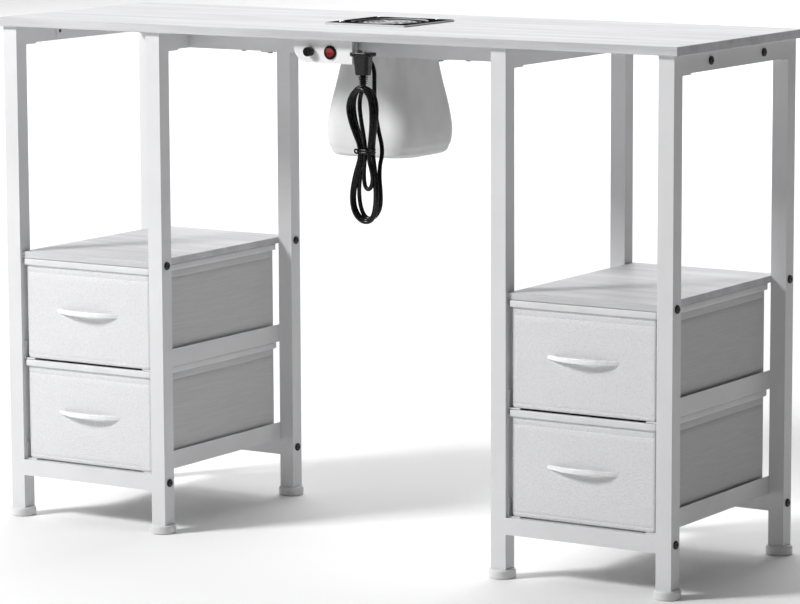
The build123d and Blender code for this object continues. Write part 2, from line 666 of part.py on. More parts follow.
with BuildPart() as bag:
    add(bag_body(BAG_CLOTH, 0.0, 18.0))
    add(bag_body(0.0, BAG_CLOTH, 17.0), mode=Mode.SUBTRACT)
save(bag.part, "filter_bag")

# ---------------------------------------------------------------- controls under the front edge
PANEL_BACK = PANEL_Y + PANEL_SHEET
with BuildPart() as panel:
    panel_x = (PANEL_LEFT_X, PANEL_RIGHT_X)
    add(block(panel_x, (PANEL_Y, PANEL_BACK), (PANEL_Z, TOP_UNDER)))
    low_left = panel.edges().filter_by(Axis.Y).group_by(Axis.Z)[0].sort_by(Axis.X)[0]
    fillet(low_left, PANEL_CORNER)
    add(block(panel_x, (PANEL_Y, PANEL_Y + PANEL_FLANGE), (TOP_UNDER - PANEL_SHEET, TOP_UNDER)))
    return_x = (PANEL_RIGHT_X - PANEL_SHEET, PANEL_RIGHT_X)
    add(block(return_x, (PANEL_Y, PANEL_Y + PANEL_RETURN), (PANEL_Z, TOP_UNDER)))
    with BuildSketch(Plane(origin=(KNOB_X, PANEL_Y, KNOB_Z), x_dir=(1, 0, 0), z_dir=(0, 1, 0))):
        Circle(3.6)
    extrude(amount=PANEL_SHEET, mode=Mode.SUBTRACT)
    with BuildSketch(Plane(origin=(SWITCH_X, PANEL_Y, SWITCH_Z), x_dir=(1, 0, 0), z_dir=(0, 1, 0))):
        Circle(SWITCH_BEZEL / 2 - 1.0)
    extrude(amount=PANEL_SHEET, mode=Mode.SUBTRACT)
    with BuildSketch(Plane.XY.offset(TOP_UNDER - PANEL_SHEET)):
        with Locations(*panel_spots):
            Circle(WOOD_SCREW_DIA / 2)
    extrude(amount=PANEL_SHEET, mode=Mode.SUBTRACT)
save(panel.part, "control_panel")


def rod_y(x, z, y_start, y_end, diameter):
    """A round bar along Y."""
    with BuildPart() as made:
        with BuildSketch(Plane(origin=(x, y_start, z), x_dir=(1, 0, 0), z_dir=(0, 1, 0))):
            Circle(diameter / 2)
        extrude(amount=y_end - y_start)
    return made.part


CASE_FRONT_Y = -156.0
CASE_REAR_Y = -122.0
CASE_X = (-35.5, 18.0)
CASE_LOW = RAIL_LOW
KNOB_BACK = PANEL_Y - 1.3
with BuildPart() as knob:
    add(rod_y(KNOB_X, KNOB_Z, KNOB_BACK, PANEL_Y - KNOB_LENGTH, KNOB_DIA))
    fillet(knob.edges().group_by(Axis.Y)[0], 1.2)
    add(rod_y(KNOB_X, KNOB_Z, KNOB_BACK, KNOB_BACK - 7.0, 6.0), mode=Mode.SUBTRACT)
    notch_y = (PANEL_Y - KNOB_LENGTH - 1.0, PANEL_Y - KNOB_LENGTH + 0.6)
    add(block((KNOB_X - 0.6, KNOB_X + 0.6), notch_y, (KNOB_Z + 1.5, KNOB_Z + 5.6)), mode=Mode.SUBTRACT)
knob_shaft = rod_y(KNOB_X, KNOB_Z, KNOB_BACK - 7.0, PANEL_BACK + 6.0, 6.0)
save(gather([knob.part, knob_shaft]), "speed_knob")

with BuildPart() as dial:
    add(rod_y(KNOB_X, KNOB_Z, PANEL_BACK, PANEL_BACK + 9.0, 17.0))
    add(rod_y(KNOB_X, KNOB_Z, PANEL_BACK, PANEL_Y - 1.0, 7.0))
    add(rod_y(KNOB_X, KNOB_Z, PANEL_Y - 1.0, PANEL_BACK + 6.05, 6.1), mode=Mode.SUBTRACT)
    for pin_x in (KNOB_X - 5.0, KNOB_X, KNOB_X + 5.0):
        add(rod_y(pin_x, KNOB_Z, PANEL_BACK + 9.0, CASE_FRONT_Y, 1.2))
save(dial.part, "speed_dial")

PIVOT_Y = PANEL_Y + 1.0
WELL = 8.25
with BuildPart() as switch:
    add(rod_y(SWITCH_X, SWITCH_Z, PANEL_Y - 2.0, PANEL_Y, SWITCH_BEZEL))
    fillet(switch.edges().group_by(Axis.Y)[0], 1.0)
    add(rod_y(SWITCH_X, SWITCH_Z, PANEL_Y, PANEL_Y + 16.0, SWITCH_BEZEL - 2.0))
    add(rod_y(SWITCH_X, SWITCH_Z, PANEL_Y - 2.0, PANEL_Y + 10.0, 2 * WELL), mode=Mode.SUBTRACT)
    add(rod_x(SWITCH_X - 9.0, SWITCH_X + 9.0, PIVOT_Y, SWITCH_Z, 2.1), mode=Mode.SUBTRACT)
    for blade_x in (SWITCH_X - 5.0, SWITCH_X, SWITCH_X + 5.0):
        blade_z = (SWITCH_Z - 2.4, SWITCH_Z + 2.4)
        add(block((blade_x - 0.4, blade_x + 0.4), (PANEL_Y + 16.0, CASE_FRONT_Y), blade_z))
save(switch.part, "rocker_switch")

with BuildPart() as rocker:
    with BuildSketch(Plane(origin=(SWITCH_X - 7.2, 0, 0), x_dir=(0, 1, 0), z_dir=(1, 0, 0))):
        with BuildLine():
            Polyline(
                (PANEL_Y + 4.5, SWITCH_Z + 5.0),
                (PANEL_Y - 3.8, SWITCH_Z + 7.2),
                (PANEL_Y - 1.8, SWITCH_Z),
                (PANEL_Y - 1.6, SWITCH_Z - 7.2),
                (PANEL_Y + 4.5, SWITCH_Z - 5.0),
                close=True,
            )
        make_face()
    extrude(amount=14.4)
    add(rod_y(SWITCH_X, SWITCH_Z, PANEL_Y - 10.0, PANEL_Y + 10.0, 14.4), mode=Mode.INTERSECT)
    add(rod_x(SWITCH_X - 8.9, SWITCH_X + 8.9, PIVOT_Y, SWITCH_Z, 2.0))
save(rocker.part, "power_rocker")

with BuildPart() as case:
    add(block(CASE_X, (CASE_FRONT_Y, CASE_REAR_Y), (CASE_LOW, TOP_UNDER)))
    fillet(case.edges().filter_by(Axis.Z), 2.0)
save(case.part, "speed_controller")

# ---------------------------------------------------------------- cords


def cord_along(points, diameter, name):
    """A cord of straight runs joined by tangent arcs, with its length and bend radii printed."""
    radii = []
    spans = list(zip(points[:-1], points[1:]))
    runs = [hypot(*(b - a for a, b in zip(p, q))) for p, q in spans]
    for place in range(1, len(points) - 1):
        before = [(b - a) / runs[place - 1] for a, b in zip(points[place - 1], points[place])]
        after = [(b - a) / runs[place] for a, b in zip(points[place], points[place + 1])]
        cosine = max(-1.0, min(1.0, sum(a * b for a, b in zip(before, after))))
        half_turn = atan2((1 - cosine) ** 0.5, (1 + cosine) ** 0.5)
        radii.append(0.45 * min(runs[place - 1], runs[place]) / tan(half_turn))
    with BuildPart() as made:
        with BuildLine() as route:
            FilletPolyline(*points, radius=radii)
        start = route.wires()[0] @ 0
        heading = route.wires()[0] % 0
        with BuildSketch(Plane(origin=start, z_dir=heading)):
            Circle(diameter / 2)
        sweep()
    length = route.wires()[0].length
    section = pi * diameter * diameter / 4
    print(name, "length mm", round(length, 1), "bend radii mm", [round(r, 1) for r in radii])
    print(name, "volume over section x length", round(made.part.volume / (section * length), 4))
    return made.part


GLAND_Y = -150.0
GLAND_Z = 757.0
GLAND_END_X = CASE_X[1] + 9.5
with BuildPart() as gland:
    add(rod_x(CASE_X[1], CASE_X[1] + 3.0, GLAND_Y, GLAND_Z, 13.0))
    add(rod_x(CASE_X[1] + 3.0, GLAND_END_X, GLAND_Y, GLAND_Z, 10.0))
save(gland.part, "cord_gland")

CORD_ROUTE = (
    (GLAND_END_X, GLAND_Y, GLAND_Z),
    (45.5, -150.5, 757.0),
    (61.0, -151.5, 748.0),
    (70.0, -153.0, 732.5),
    (71.5, -155.5, 715.0),
    (73.5, -159.0, 684.0),
    (81.0, -162.0, 648.0),
    (93.0, -165.5, 614.0),
    (89.5, -175.0, 587.0),
)
save(cord_along(CORD_ROUTE, CORD_DIA, "power_cord"), "power_cord")

LEAD_ROUTE = (
    (-20.0, CASE_REAR_Y, 752.0),
    (-20.0, -108.0, 742.5),
    (-22.0, -84.0, 743.0),
    (-25.0, -74.0, 756.0),
    (-29.0, -66.0, 768.0),
    (-32.0, -FAN_SIZE / 2, 772.0),
)
save(cord_along(LEAD_ROUTE, LEAD_DIA, "fan_lead"), "fan_lead")

WAIST_X = (60.5, 88.5)
WAIST_Z = (596.0, 632.0)
HANK_ROUND = 6.0


def hank_lobe(centre_x, centre_z, half_width, half_height):
    """One bundle of loops, as a thick rounded oval standing along X."""
    face = Plane(origin=(centre_x, HANK_Y - HANK_THICK / 2, centre_z), x_dir=(1, 0, 0), z_dir=(0, 1, 0))
    with BuildPart() as made:
        with BuildSketch(face):
            Ellipse(half_width, half_height)
        extrude(amount=HANK_THICK)
        fillet(made.edges().group_by(Axis.Y)[0] + made.edges().group_by(Axis.Y)[-1], HANK_ROUND)
    return made.part


with BuildPart() as hank:
    with BuildSketch(Plane.XY.offset(WAIST_Z[0])):
        with Locations(((WAIST_X[0] + WAIST_X[1]) / 2, HANK_Y)):
            RectangleRounded(WAIST_X[1] - WAIST_X[0], HANK_THICK, HANK_ROUND)
    extrude(amount=WAIST_Z[1] - WAIST_Z[0])
    add(hank_lobe(66.0, 666.0, 30.0, HANK_TOP - 666.0))
    add(hank_lobe(73.0, 556.0, 30.5, 52.0))
save(hank.part, "cord_hank")

TIE_HIGH = 9.0
TIE_WALL = 1.6
with BuildPart() as tie:
    waist_width = WAIST_X[1] - WAIST_X[0]
    with BuildSketch(Plane.XY.offset(614.0 - TIE_HIGH / 2)):
        with Locations(((WAIST_X[0] + WAIST_X[1]) / 2, HANK_Y)):
            RectangleRounded(waist_width + 2 * TIE_WALL, HANK_THICK + 2 * TIE_WALL, HANK_ROUND + TIE_WALL)
            RectangleRounded(waist_width, HANK_THICK, HANK_ROUND, mode=Mode.SUBTRACT)
    extrude(amount=TIE_HIGH)
save(tie.part, "cord_tie")

FLANGE_LOW = PLUG_TOP - 6.0
BODY_LOW = 726.0
with BuildPart() as plug:
    with BuildSketch(Plane.XY.offset(FLANGE_LOW)):
        with Locations((PLUG_X, PLUG_Y)):
            RectangleRounded(35.6, 25.0, 6.0)
    extrude(amount=6.0)
    fillet(plug.edges().group_by(Axis.Z)[-1], 1.0)
    with BuildSketch(Plane.XY.offset(FLANGE_LOW)):
        with Locations((PLUG_X, PLUG_Y)):
            RectangleRounded(26.0, 20.0, 5.0)
    with BuildSketch(Plane.XY.offset(BODY_LOW)):
        with Locations((PLUG_X, PLUG_Y)):
            RectangleRounded(22.0, 17.0, 5.0)
    loft()
    with BuildSketch(Plane.XY.offset(BODY_LOW)):
        with Locations((PLUG_X, PLUG_Y)):
            Circle(4.6)
    extrude(amount=-(BODY_LOW - HANK_TOP + 3.0))
    for step in range(4):
        with BuildSketch(Plane.XY.offset(BODY_LOW - 2.9 - 3.0 * step)):
            with Locations((PLUG_X, PLUG_Y)):
                Circle(7.2 - 0.4 * step)
        extrude(amount=1.7)
save(plug.part, "mains_plug")

PRONG = 15.9
BLADE_PITCH = 12.7
BLADE_THICK = 1.5
BLADE_Y = (-191.3, -184.95)
EARTH_PIN_Y = -176.3
EARTH_PIN_DIA = 4.8
prongs = [rod_z(PLUG_X, EARTH_PIN_Y, PLUG_TOP, PLUG_TOP + PRONG, EARTH_PIN_DIA)]
for blade_x in (PLUG_X - BLADE_PITCH / 2, PLUG_X + BLADE_PITCH / 2):
    blade_sides = (blade_x - BLADE_THICK / 2, blade_x + BLADE_THICK / 2)
    prongs.append(block(blade_sides, BLADE_Y, (PLUG_TOP, PLUG_TOP + PRONG)))
save(gather(prongs), "plug_prongs")
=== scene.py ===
import json
from math import atan, cos, pi, radians, sin

import bmesh
import bpy
from mathutils import Matrix, Vector


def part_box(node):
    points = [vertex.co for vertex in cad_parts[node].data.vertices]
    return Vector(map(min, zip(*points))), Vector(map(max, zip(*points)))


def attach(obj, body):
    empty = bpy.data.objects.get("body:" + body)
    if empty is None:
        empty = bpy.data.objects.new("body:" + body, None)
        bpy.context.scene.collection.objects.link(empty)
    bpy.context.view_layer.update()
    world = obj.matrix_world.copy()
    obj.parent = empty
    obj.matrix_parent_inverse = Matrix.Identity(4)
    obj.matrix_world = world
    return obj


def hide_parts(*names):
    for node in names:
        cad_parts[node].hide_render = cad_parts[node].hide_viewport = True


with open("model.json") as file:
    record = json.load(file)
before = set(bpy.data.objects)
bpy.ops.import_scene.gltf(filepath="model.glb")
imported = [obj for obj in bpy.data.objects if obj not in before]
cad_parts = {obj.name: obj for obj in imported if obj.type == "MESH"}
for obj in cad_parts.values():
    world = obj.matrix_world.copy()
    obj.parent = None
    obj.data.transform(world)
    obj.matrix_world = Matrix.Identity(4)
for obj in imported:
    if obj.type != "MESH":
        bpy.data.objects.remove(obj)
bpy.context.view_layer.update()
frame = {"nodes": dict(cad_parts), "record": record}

NODES = frame["nodes"]


# ---------------------------------------------------------------- node material helpers


class Shader:
    """A new material with a Principled shader, and short ways to add nodes to it."""

    def __init__(self, name, colour, roughness, **sockets):
        self.material = bpy.data.materials.new(name)
        self.material.use_nodes = True
        self.tree = self.material.node_tree
        self.principled = self.tree.nodes["Principled BSDF"]
        self.set("Base Color", colour)
        self.set("Roughness", roughness)
        for socket, value in sockets.items():
            self.set(socket.replace("_", " "), value)
        self.place = self.tree.nodes.new("ShaderNodeTexCoord").outputs["Object"]

    def set(self, socket, value):
        """Give a shader socket a constant, or link it."""
        if isinstance(value, bpy.types.NodeSocket):
            self.tree.links.new(value, self.principled.inputs[socket])
        elif isinstance(value, tuple) and len(value) == 3:
            self.principled.inputs[socket].default_value = (*value, 1.0)
        else:
            self.principled.inputs[socket].default_value = value

    def stretched(self, scale):
        """Object coordinates scaled on each axis."""
        mapping = self.tree.nodes.new("ShaderNodeMapping")
        mapping.inputs["Scale"].default_value = scale
        self.tree.links.new(self.place, mapping.inputs["Vector"])
        return mapping.outputs["Vector"]

    def noise(self, scale, stretch=(1, 1, 1), detail=3.0, roughness=0.5):
        """Noise over the object, from 0 to 1."""
        node = self.tree.nodes.new("ShaderNodeTexNoise")
        node.inputs["Scale"].default_value = scale
        node.inputs["Detail"].default_value = detail
        node.inputs["Roughness"].default_value = roughness
        self.tree.links.new(self.stretched(stretch), node.inputs["Vector"])
        return node.outputs["Fac"]

    def cells(self, scale, stretch=(1, 1, 1), feature="SMOOTH_F1"):
        """Rounded cells, as in pebbled leather."""
        node = self.tree.nodes.new("ShaderNodeTexVoronoi")
        node.feature = feature
        node.inputs["Scale"].default_value = scale
        self.tree.links.new(self.stretched(stretch), node.inputs["Vector"])
        return node.outputs["Distance"]

    def waves(self, scale, direction, distortion=0.0):
        """Even bands across one axis, as in a weave or a brushed finish."""
        node = self.tree.nodes.new("ShaderNodeTexWave")
        node.bands_direction = direction
        node.inputs["Scale"].default_value = scale
        node.inputs["Distortion"].default_value = distortion
        self.tree.links.new(self.place, node.inputs["Vector"])
        return node.outputs["Fac"]

    def maths(self, operation, first, second=0.0):
        """One maths node on sockets or numbers."""
        node = self.tree.nodes.new("ShaderNodeMath")
        node.operation = operation
        for place, value in enumerate((first, second)):
            if isinstance(value, bpy.types.NodeSocket):
                self.tree.links.new(value, node.inputs[place])
            else:
                node.inputs[place].default_value = value
        return node.outputs["Value"]

    def spread(self, value, low, high, to_low=0.0, to_high=1.0):
        """A value's range low..high mapped onto another, and held there."""
        node = self.tree.nodes.new("ShaderNodeMapRange")
        for place, number in enumerate((low, high, to_low, to_high), 1):
            node.inputs[place].default_value = number
        self.tree.links.new(value, node.inputs["Value"])
        return node.outputs["Result"]

    def mix(self, factor, first, second):
        """Two colours or colour sockets blended by a factor."""
        node = self.tree.nodes.new("ShaderNodeMix")
        node.data_type = "RGBA"
        self.tree.links.new(factor, node.inputs["Factor"])
        for place, value in ((6, first), (7, second)):
            if isinstance(value, bpy.types.NodeSocket):
                self.tree.links.new(value, node.inputs[place])
            else:
                node.inputs[place].default_value = (*value, 1.0)
        return node.outputs[2]

    def bump(self, height, strength, distance):
        """Relief on the shader's normal, added to any relief that is there."""
        node = self.tree.nodes.new("ShaderNodeBump")
        node.inputs["Strength"].default_value = strength
        node.inputs["Distance"].default_value = distance
        self.tree.links.new(height, node.inputs["Height"])
        normal = self.principled.inputs["Normal"]
        if normal.is_linked:
            self.tree.links.new(normal.links[0].from_socket, node.inputs["Normal"])
        self.tree.links.new(node.outputs["Normal"], normal)

    def painted_edge_highlight(self, radius, amount):
        """0 on flat faces, rising on sharp edges: the mask for painted edge highlights."""
        bevel = self.tree.nodes.new("ShaderNodeBevel")
        bevel.inputs["Radius"].default_value = radius
        geometry = self.tree.nodes.new("ShaderNodeNewGeometry")
        dot = self.tree.nodes.new("ShaderNodeVectorMath")
        dot.operation = "DOT_PRODUCT"
        self.tree.links.new(bevel.outputs["Normal"], dot.inputs[0])
        self.tree.links.new(geometry.outputs["Normal"], dot.inputs[1])
        return self.spread(dot.outputs["Value"], 1.0, 0.85, 0.0, amount)


# ---------------------------------------------------------------- finishes


def laminate():
    """Pale grey-white wood print: long soft streaks and fine pores along X."""
    made = Shader("white_laminate", (0.66, 0.66, 0.68), 0.42)
    broad = made.noise(3.0, (0.8, 11.0, 11.0), 4.0, 0.6)
    fine = made.noise(14.0, (0.7, 22.0, 22.0), 5.0, 0.65)
    pores = made.spread(made.noise(40.0, (0.55, 26.0, 26.0), 3.0, 0.7), 0.56, 0.70)
    tone = made.maths("ADD", made.spread(broad, 0.3, 0.7), fine)
    base = made.mix(made.spread(tone, 0.55, 1.4), (0.47, 0.47, 0.485), (0.63, 0.63, 0.645))
    made.set("Base Color", made.mix(made.maths("MULTIPLY", pores, 0.35), base, (0.50, 0.50, 0.52)))
    made.set("Roughness", made.spread(fine, 0.3, 0.7, 0.38, 0.50))
    made.bump(made.maths("SUBTRACT", fine, made.maths("MULTIPLY", pores, 0.6)), 0.12, 0.0004)
    return made.material


def powder_coat(name, tone):
    """White powder coat with its faint orange peel, and a painted highlight on its edges."""
    made = Shader(name, tone, 0.36, Coat_Weight=0.12, Coat_Roughness=0.25)
    patch = made.noise(9.0, detail=2.0)
    darker = tuple(channel * 0.955 for channel in tone)
    coat = made.mix(made.spread(patch, 0.35, 0.65), darker, tone)
    # painted highlight: sharp edges are mixed towards a paler grey than the coat
    made.set("Base Color", made.mix(made.painted_edge_highlight(0.0008, 0.25), coat, (0.78, 0.78, 0.78)))
    made.set("Roughness", made.spread(made.noise(60.0), 0.3, 0.7, 0.32, 0.42))
    made.bump(made.noise(900.0, detail=1.0), 0.06, 0.0003)
    made.bump(made.noise(180.0, detail=2.0), 0.05, 0.0004)
    return made.material


def plastic(name, colour, roughness, grain=700.0, relief=0.05, **sockets):
    """Moulded plastic with a fine grain and slight tone changes."""
    made = Shader(name, colour, roughness, **sockets)
    darker = tuple(channel * 0.9 for channel in colour)
    made.set("Base Color", made.mix(made.spread(made.noise(25.0), 0.3, 0.7), darker, colour))
    made.set("Roughness", made.spread(made.noise(90.0), 0.3, 0.7, roughness * 0.85, min(1.0, roughness * 1.2)))
    made.bump(made.noise(grain, detail=2.0), relief, 0.0002)
    return made.material


def metal(name, colour, roughness, brushed="Z", **sockets):
    """Plain bright metal with fine marks along one axis."""
    made = Shader(name, colour, roughness, Metallic=1.0, **sockets)
    stretch = {"X": (1, 30, 30), "Y": (30, 1, 30), "Z": (30, 30, 1)}[brushed]
    marks = made.noise(60.0, stretch, 3.0)
    made.set("Roughness", made.spread(marks, 0.3, 0.7, roughness * 0.7, roughness * 1.4))
    darker = tuple(channel * 0.85 for channel in colour)
    made.set("Base Color", made.mix(made.spread(marks, 0.3, 0.7), darker, colour))
    made.bump(marks, 0.04, 0.0001)
    return made.material


def black_oxide():
    """Blackened steel bolts, with a painted highlight on their edges."""
    made = Shader("black_bolt", (0.028, 0.028, 0.03), 0.38, Metallic=0.6)
    base = made.mix(made.spread(made.noise(220.0), 0.35, 0.7), (0.018, 0.018, 0.02), (0.045, 0.045, 0.05))
    # painted highlight: the bolts' edges are mixed towards a paler grey
    made.set("Base Color", made.mix(made.painted_edge_highlight(0.0006, 0.6), base, (0.16, 0.16, 0.17)))
    made.bump(made.noise(900.0), 0.12, 0.0002)
    return made.material


def grained_front():
    """White pebbled leatherette, as on the drawer fronts."""
    made = Shader("drawer_front_leatherette", (0.78, 0.78, 0.79), 0.50, Sheen_Weight=0.12)
    pebble = made.cells(340.0, (1.0, 1.0, 1.25))
    wander = made.noise(160.0, detail=3.0)
    height = made.maths("ADD", made.maths("MULTIPLY", pebble, 1.0), made.maths("MULTIPLY", wander, 0.5))
    # painted shade: the creases between the pebbles are darker than their tops
    crease_shade = made.spread(pebble, 0.15, 0.75)
    made.set("Base Color", made.mix(crease_shade, (0.73, 0.73, 0.74), (0.66, 0.66, 0.675)))
    made.set("Roughness", made.spread(wander, 0.3, 0.7, 0.42, 0.60))
    made.bump(height, 0.8, 0.0008)
    made.bump(made.noise(12.0, detail=2.0), 0.10, 0.003)
    return made.material


def woven(name, light, dark, streak_axis, scale=1.0):
    """Plain woven cloth whose threads vary along one axis, so that it looks streaked."""
    made = Shader(name, light, 0.85, Sheen_Weight=0.25, Sheen_Roughness=0.5)
    stretch = {"Y": (30.0, 0.8, 30.0), "X": (0.8, 30.0, 30.0), "Z": (30.0, 30.0, 0.8)}[streak_axis]
    streaks = made.noise(9.0 * scale, stretch, 5.0, 0.7)
    slubs = made.noise(26.0 * scale, tuple(value * 0.7 for value in stretch), 2.0)
    tone = made.maths("ADD", made.maths("MULTIPLY", streaks, 0.7), made.maths("MULTIPLY", slubs, 0.3))
    made.set("Base Color", made.mix(made.spread(tone, 0.34, 0.66), dark, light))
    upright = made.waves(700.0, "Z")
    along = made.waves(700.0, "Y" if streak_axis != "Y" else "X")
    length = made.waves(700.0, "Y")
    weave = made.maths("MULTIPLY", upright, made.maths("MAXIMUM", along, length))
    made.bump(weave, 0.22, 0.0003)
    made.bump(streaks, 0.30, 0.0005)
    return made.material


def felted(name, light, dark):
    """Smooth non-woven cloth with a thermal-bond dimple and faint fibres."""
    made = Shader(name, light, 0.72, Sheen_Weight=0.2, Sheen_Roughness=0.6)
    fibre = made.noise(420.0, detail=4.0, roughness=0.65)
    cloud = made.noise(18.0, detail=2.0)
    made.set("Base Color", made.mix(made.spread(cloud, 0.35, 0.65), dark, light))
    made.bump(made.cells(520.0), 0.16, 0.0003)
    made.bump(fibre, 0.10, 0.0003)
    return made.material


def vinyl(name, colour, roughness):
    """Glossy black cord jacket with slight handling marks."""
    made = Shader(name, colour, roughness, Specular_IOR_Level=0.22, Coat_Weight=0.10, Coat_Roughness=0.10)
    scuff = made.noise(140.0, detail=4.0)
    made.set("Roughness", made.spread(scuff, 0.35, 0.7, roughness * 0.8, roughness * 1.5))
    made.set("Base Color", made.mix(made.spread(scuff, 0.45, 0.85), colour, (0.009, 0.009, 0.010)))
    made.bump(made.noise(260.0), 0.02, 0.0002)
    return made.material


def grille_finish():
    """Black textured plate with bright bare edges: what faces up is black, the bevel and sides are metal."""
    made = Shader("grille_black", (0.006, 0.006, 0.006), 0.6, Specular_IOR_Level=0.0)
    geometry = made.tree.nodes.new("ShaderNodeNewGeometry")
    parts = made.tree.nodes.new("ShaderNodeSeparateXYZ")
    made.tree.links.new(geometry.outputs["True Normal"], parts.inputs[0])
    side = made.spread(parts.outputs["Z"], 0.93, 0.80)
    grain = made.noise(500.0)
    black = made.mix(made.spread(grain, 0.35, 0.7), (0.004, 0.004, 0.004), (0.012, 0.012, 0.013))
    made.set("Base Color", made.mix(side, black, (0.62, 0.62, 0.63)))
    made.set("Roughness", made.spread(grain, 0.3, 0.7, 0.48, 0.62))
    made.bump(grain, 0.05, 0.0002)
    return made.material


def guard_finish():
    """Finger guard: bright rings in the middle of a blackened outer ring."""
    made = Shader("chrome_wire", (0.60, 0.60, 0.61), 0.35, Specular_IOR_Level=0.08)
    bright_reach = 0.043
    level = made.tree.nodes.new("ShaderNodeVectorMath")
    level.operation = "LENGTH"
    made.tree.links.new(made.stretched((1.0, 1.0, 0.0)), level.inputs[0])
    outer = made.spread(level.outputs["Value"], bright_reach - 0.0005, bright_reach + 0.0005)
    marks = made.noise(300.0)
    bright = made.mix(made.spread(marks, 0.3, 0.7), (0.50, 0.50, 0.51), (0.66, 0.66, 0.67))
    made.set("Base Color", made.mix(outer, bright, (0.006, 0.006, 0.006)))
    made.set("Roughness", made.spread(marks, 0.3, 0.7, 0.32, 0.5))
    made.bump(marks, 0.03, 0.0001)
    return made.material


def red_lens():
    """Deep red rocker with faint facets under a clear skin."""
    skin = {"Specular_IOR_Level": 0.3, "Coat_Weight": 0.25, "Coat_Roughness": 0.05}
    made = Shader("rocker_red", (0.38, 0.006, 0.008), 0.2, **skin)
    facet = made.cells(900.0, feature="F1")
    # painted shade: each facet darkens from its middle towards its edges
    made.set("Base Color", made.mix(made.spread(facet, 0.1, 0.6), (0.34, 0.006, 0.007), (0.11, 0.002, 0.003)))
    made.set("Emission Color", (0.9, 0.02, 0.02))
    made.set("Emission Strength", 0.03)
    made.bump(facet, 0.15, 0.0003)
    return made.material


WHITE = (0.71, 0.71, 0.72)
FINISH = {
    "white_laminate": laminate(),
    "white_steel": powder_coat("white_steel", WHITE),
    "panel_white": powder_coat("panel_white", (0.78, 0.78, 0.785)),
    "black_bolt": black_oxide(),
    "white_foot": plastic("white_foot", (0.74, 0.74, 0.745), 0.42),
    "leg_insert": plastic("leg_insert", (0.62, 0.62, 0.62), 0.55),
    "drawer_fabric": woven("drawer_side_cloth", (0.62, 0.62, 0.625), (0.53, 0.53, 0.54), "Y", 1.7),
    "drawer_rim": plastic("drawer_rim", (0.74, 0.74, 0.75), 0.5, grain=350.0, relief=0.10),
    "drawer_handle": plastic("drawer_handle", (0.90, 0.90, 0.905), 0.28, Coat_Weight=0.3, Coat_Roughness=0.2),
    "black_plastic": plastic("black_plastic", (0.005, 0.005, 0.005), 0.26, relief=0.04, Specular_IOR_Level=0.28),
    "grille_black": grille_finish(),
    "chrome_wire": guard_finish(),
    "motor_steel": metal("motor_steel", (0.45, 0.45, 0.46), 0.38),
    "bag_cloth": felted("bag_cloth", (0.72, 0.72, 0.72), (0.66, 0.66, 0.665)),
    "rocker_red": red_lens(),
    "cord_black": vinyl("cord_black", (0.004, 0.004, 0.004), 0.24),
    "prong_brass": metal("prong_nickel", (0.66, 0.66, 0.66), 0.22),
}
FRONT_LEATHER = grained_front()
LINING = felted("drawer_lining", (0.62, 0.62, 0.63), (0.56, 0.56, 0.57))
BOARD = plastic("drawer_board", (0.55, 0.55, 0.55), 0.8)
THREAD = woven("seam_thread", (0.74, 0.74, 0.75), (0.60, 0.60, 0.61), "Z", 3.0)
BRIGHT_SCREW = metal("bright_screw", (0.74, 0.74, 0.75), 0.2)

SLOT_OF = {row["node"]: row["material_slot"] for row in frame["record"]["subparts"]}
for node_name, node_object in NODES.items():
    material = FINISH[SLOT_OF[node_name]]
    if node_name == "fan_screws":
        material = BRIGHT_SCREW
    if not node_object.material_slots:
        node_object.data.materials.append(material)
    for material_slot in node_object.material_slots:
        material_slot.material = material

# ---------------------------------------------------------------- mesh helpers
SHARP_ANGLE = 50


def mesh_piece(name, points, faces, materials, body, face_materials=None, smooth=True):
    """A piece made of points and faces in metres, in the row frame, riding on a body."""
    mesh = bpy.data.meshes.new(name)
    mesh.from_pydata([tuple(point) for point in points], [], faces)
    for material in materials:
        mesh.materials.append(material)
    if face_materials:
        mesh.polygons.foreach_set("material_index", face_materials)
    clean = bmesh.new()
    clean.from_mesh(mesh)
    bmesh.ops.recalc_face_normals(clean, faces=clean.faces)
    clean.to_mesh(mesh)
    clean.free()
    mesh.polygons.foreach_set("use_smooth", [smooth] * len(mesh.polygons))
    mesh.set_sharp_from_angle(angle=radians(SHARP_ANGLE))
    piece = bpy.data.objects.new(name, mesh)
    bpy.context.scene.collection.objects.link(piece)
    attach(piece, body)
    return piece


def rounded_loop(half_x, half_y, corner, straight_steps=10, corner_steps=6):
    """Points and outward directions round a rectangle with round corners, from its front left corner."""
    loop = []
    corners = ((-1, -1, pi), (1, -1, 1.5 * pi), (1, 1, 0.0), (-1, 1, 0.5 * pi))
    for number, (side_x, side_y, start) in enumerate(corners):
        centre = (side_x * (half_x - corner), side_y * (half_y - corner))
        for step in range(corner_steps + 1):
            angle = start + pi / 2 * step / corner_steps
            outward = (cos(angle), sin(angle))
            loop.append((centre[0] + corner * outward[0], centre[1] + corner * outward[1], *outward))
        nx, ny, _ = corners[(number + 1) % 4]
        following = (nx * (half_x - corner), ny * (half_y - corner))
        last = (cos(start + pi / 2), sin(start + pi / 2))
        for step in range(1, straight_steps):
            part = step / straight_steps
            x = centre[0] + (following[0] - centre[0]) * part + corner * last[0]
            y = centre[1] + (following[1] - centre[1]) * part + corner * last[1]
            loop.append((x, y, *last))
    return loop


def grid_faces(rows, columns, wrap_rows=False):
    """Quads of a grid of points whose columns go round in a ring."""
    faces = []
    for row in range(rows if wrap_rows else rows - 1):
        below = (row + 1) % rows
        for column in range(columns):
            beside = (column + 1) % columns
            first, second = row * columns, below * columns
            faces.append((first + column, first + beside, second + beside, second + column))
    return faces


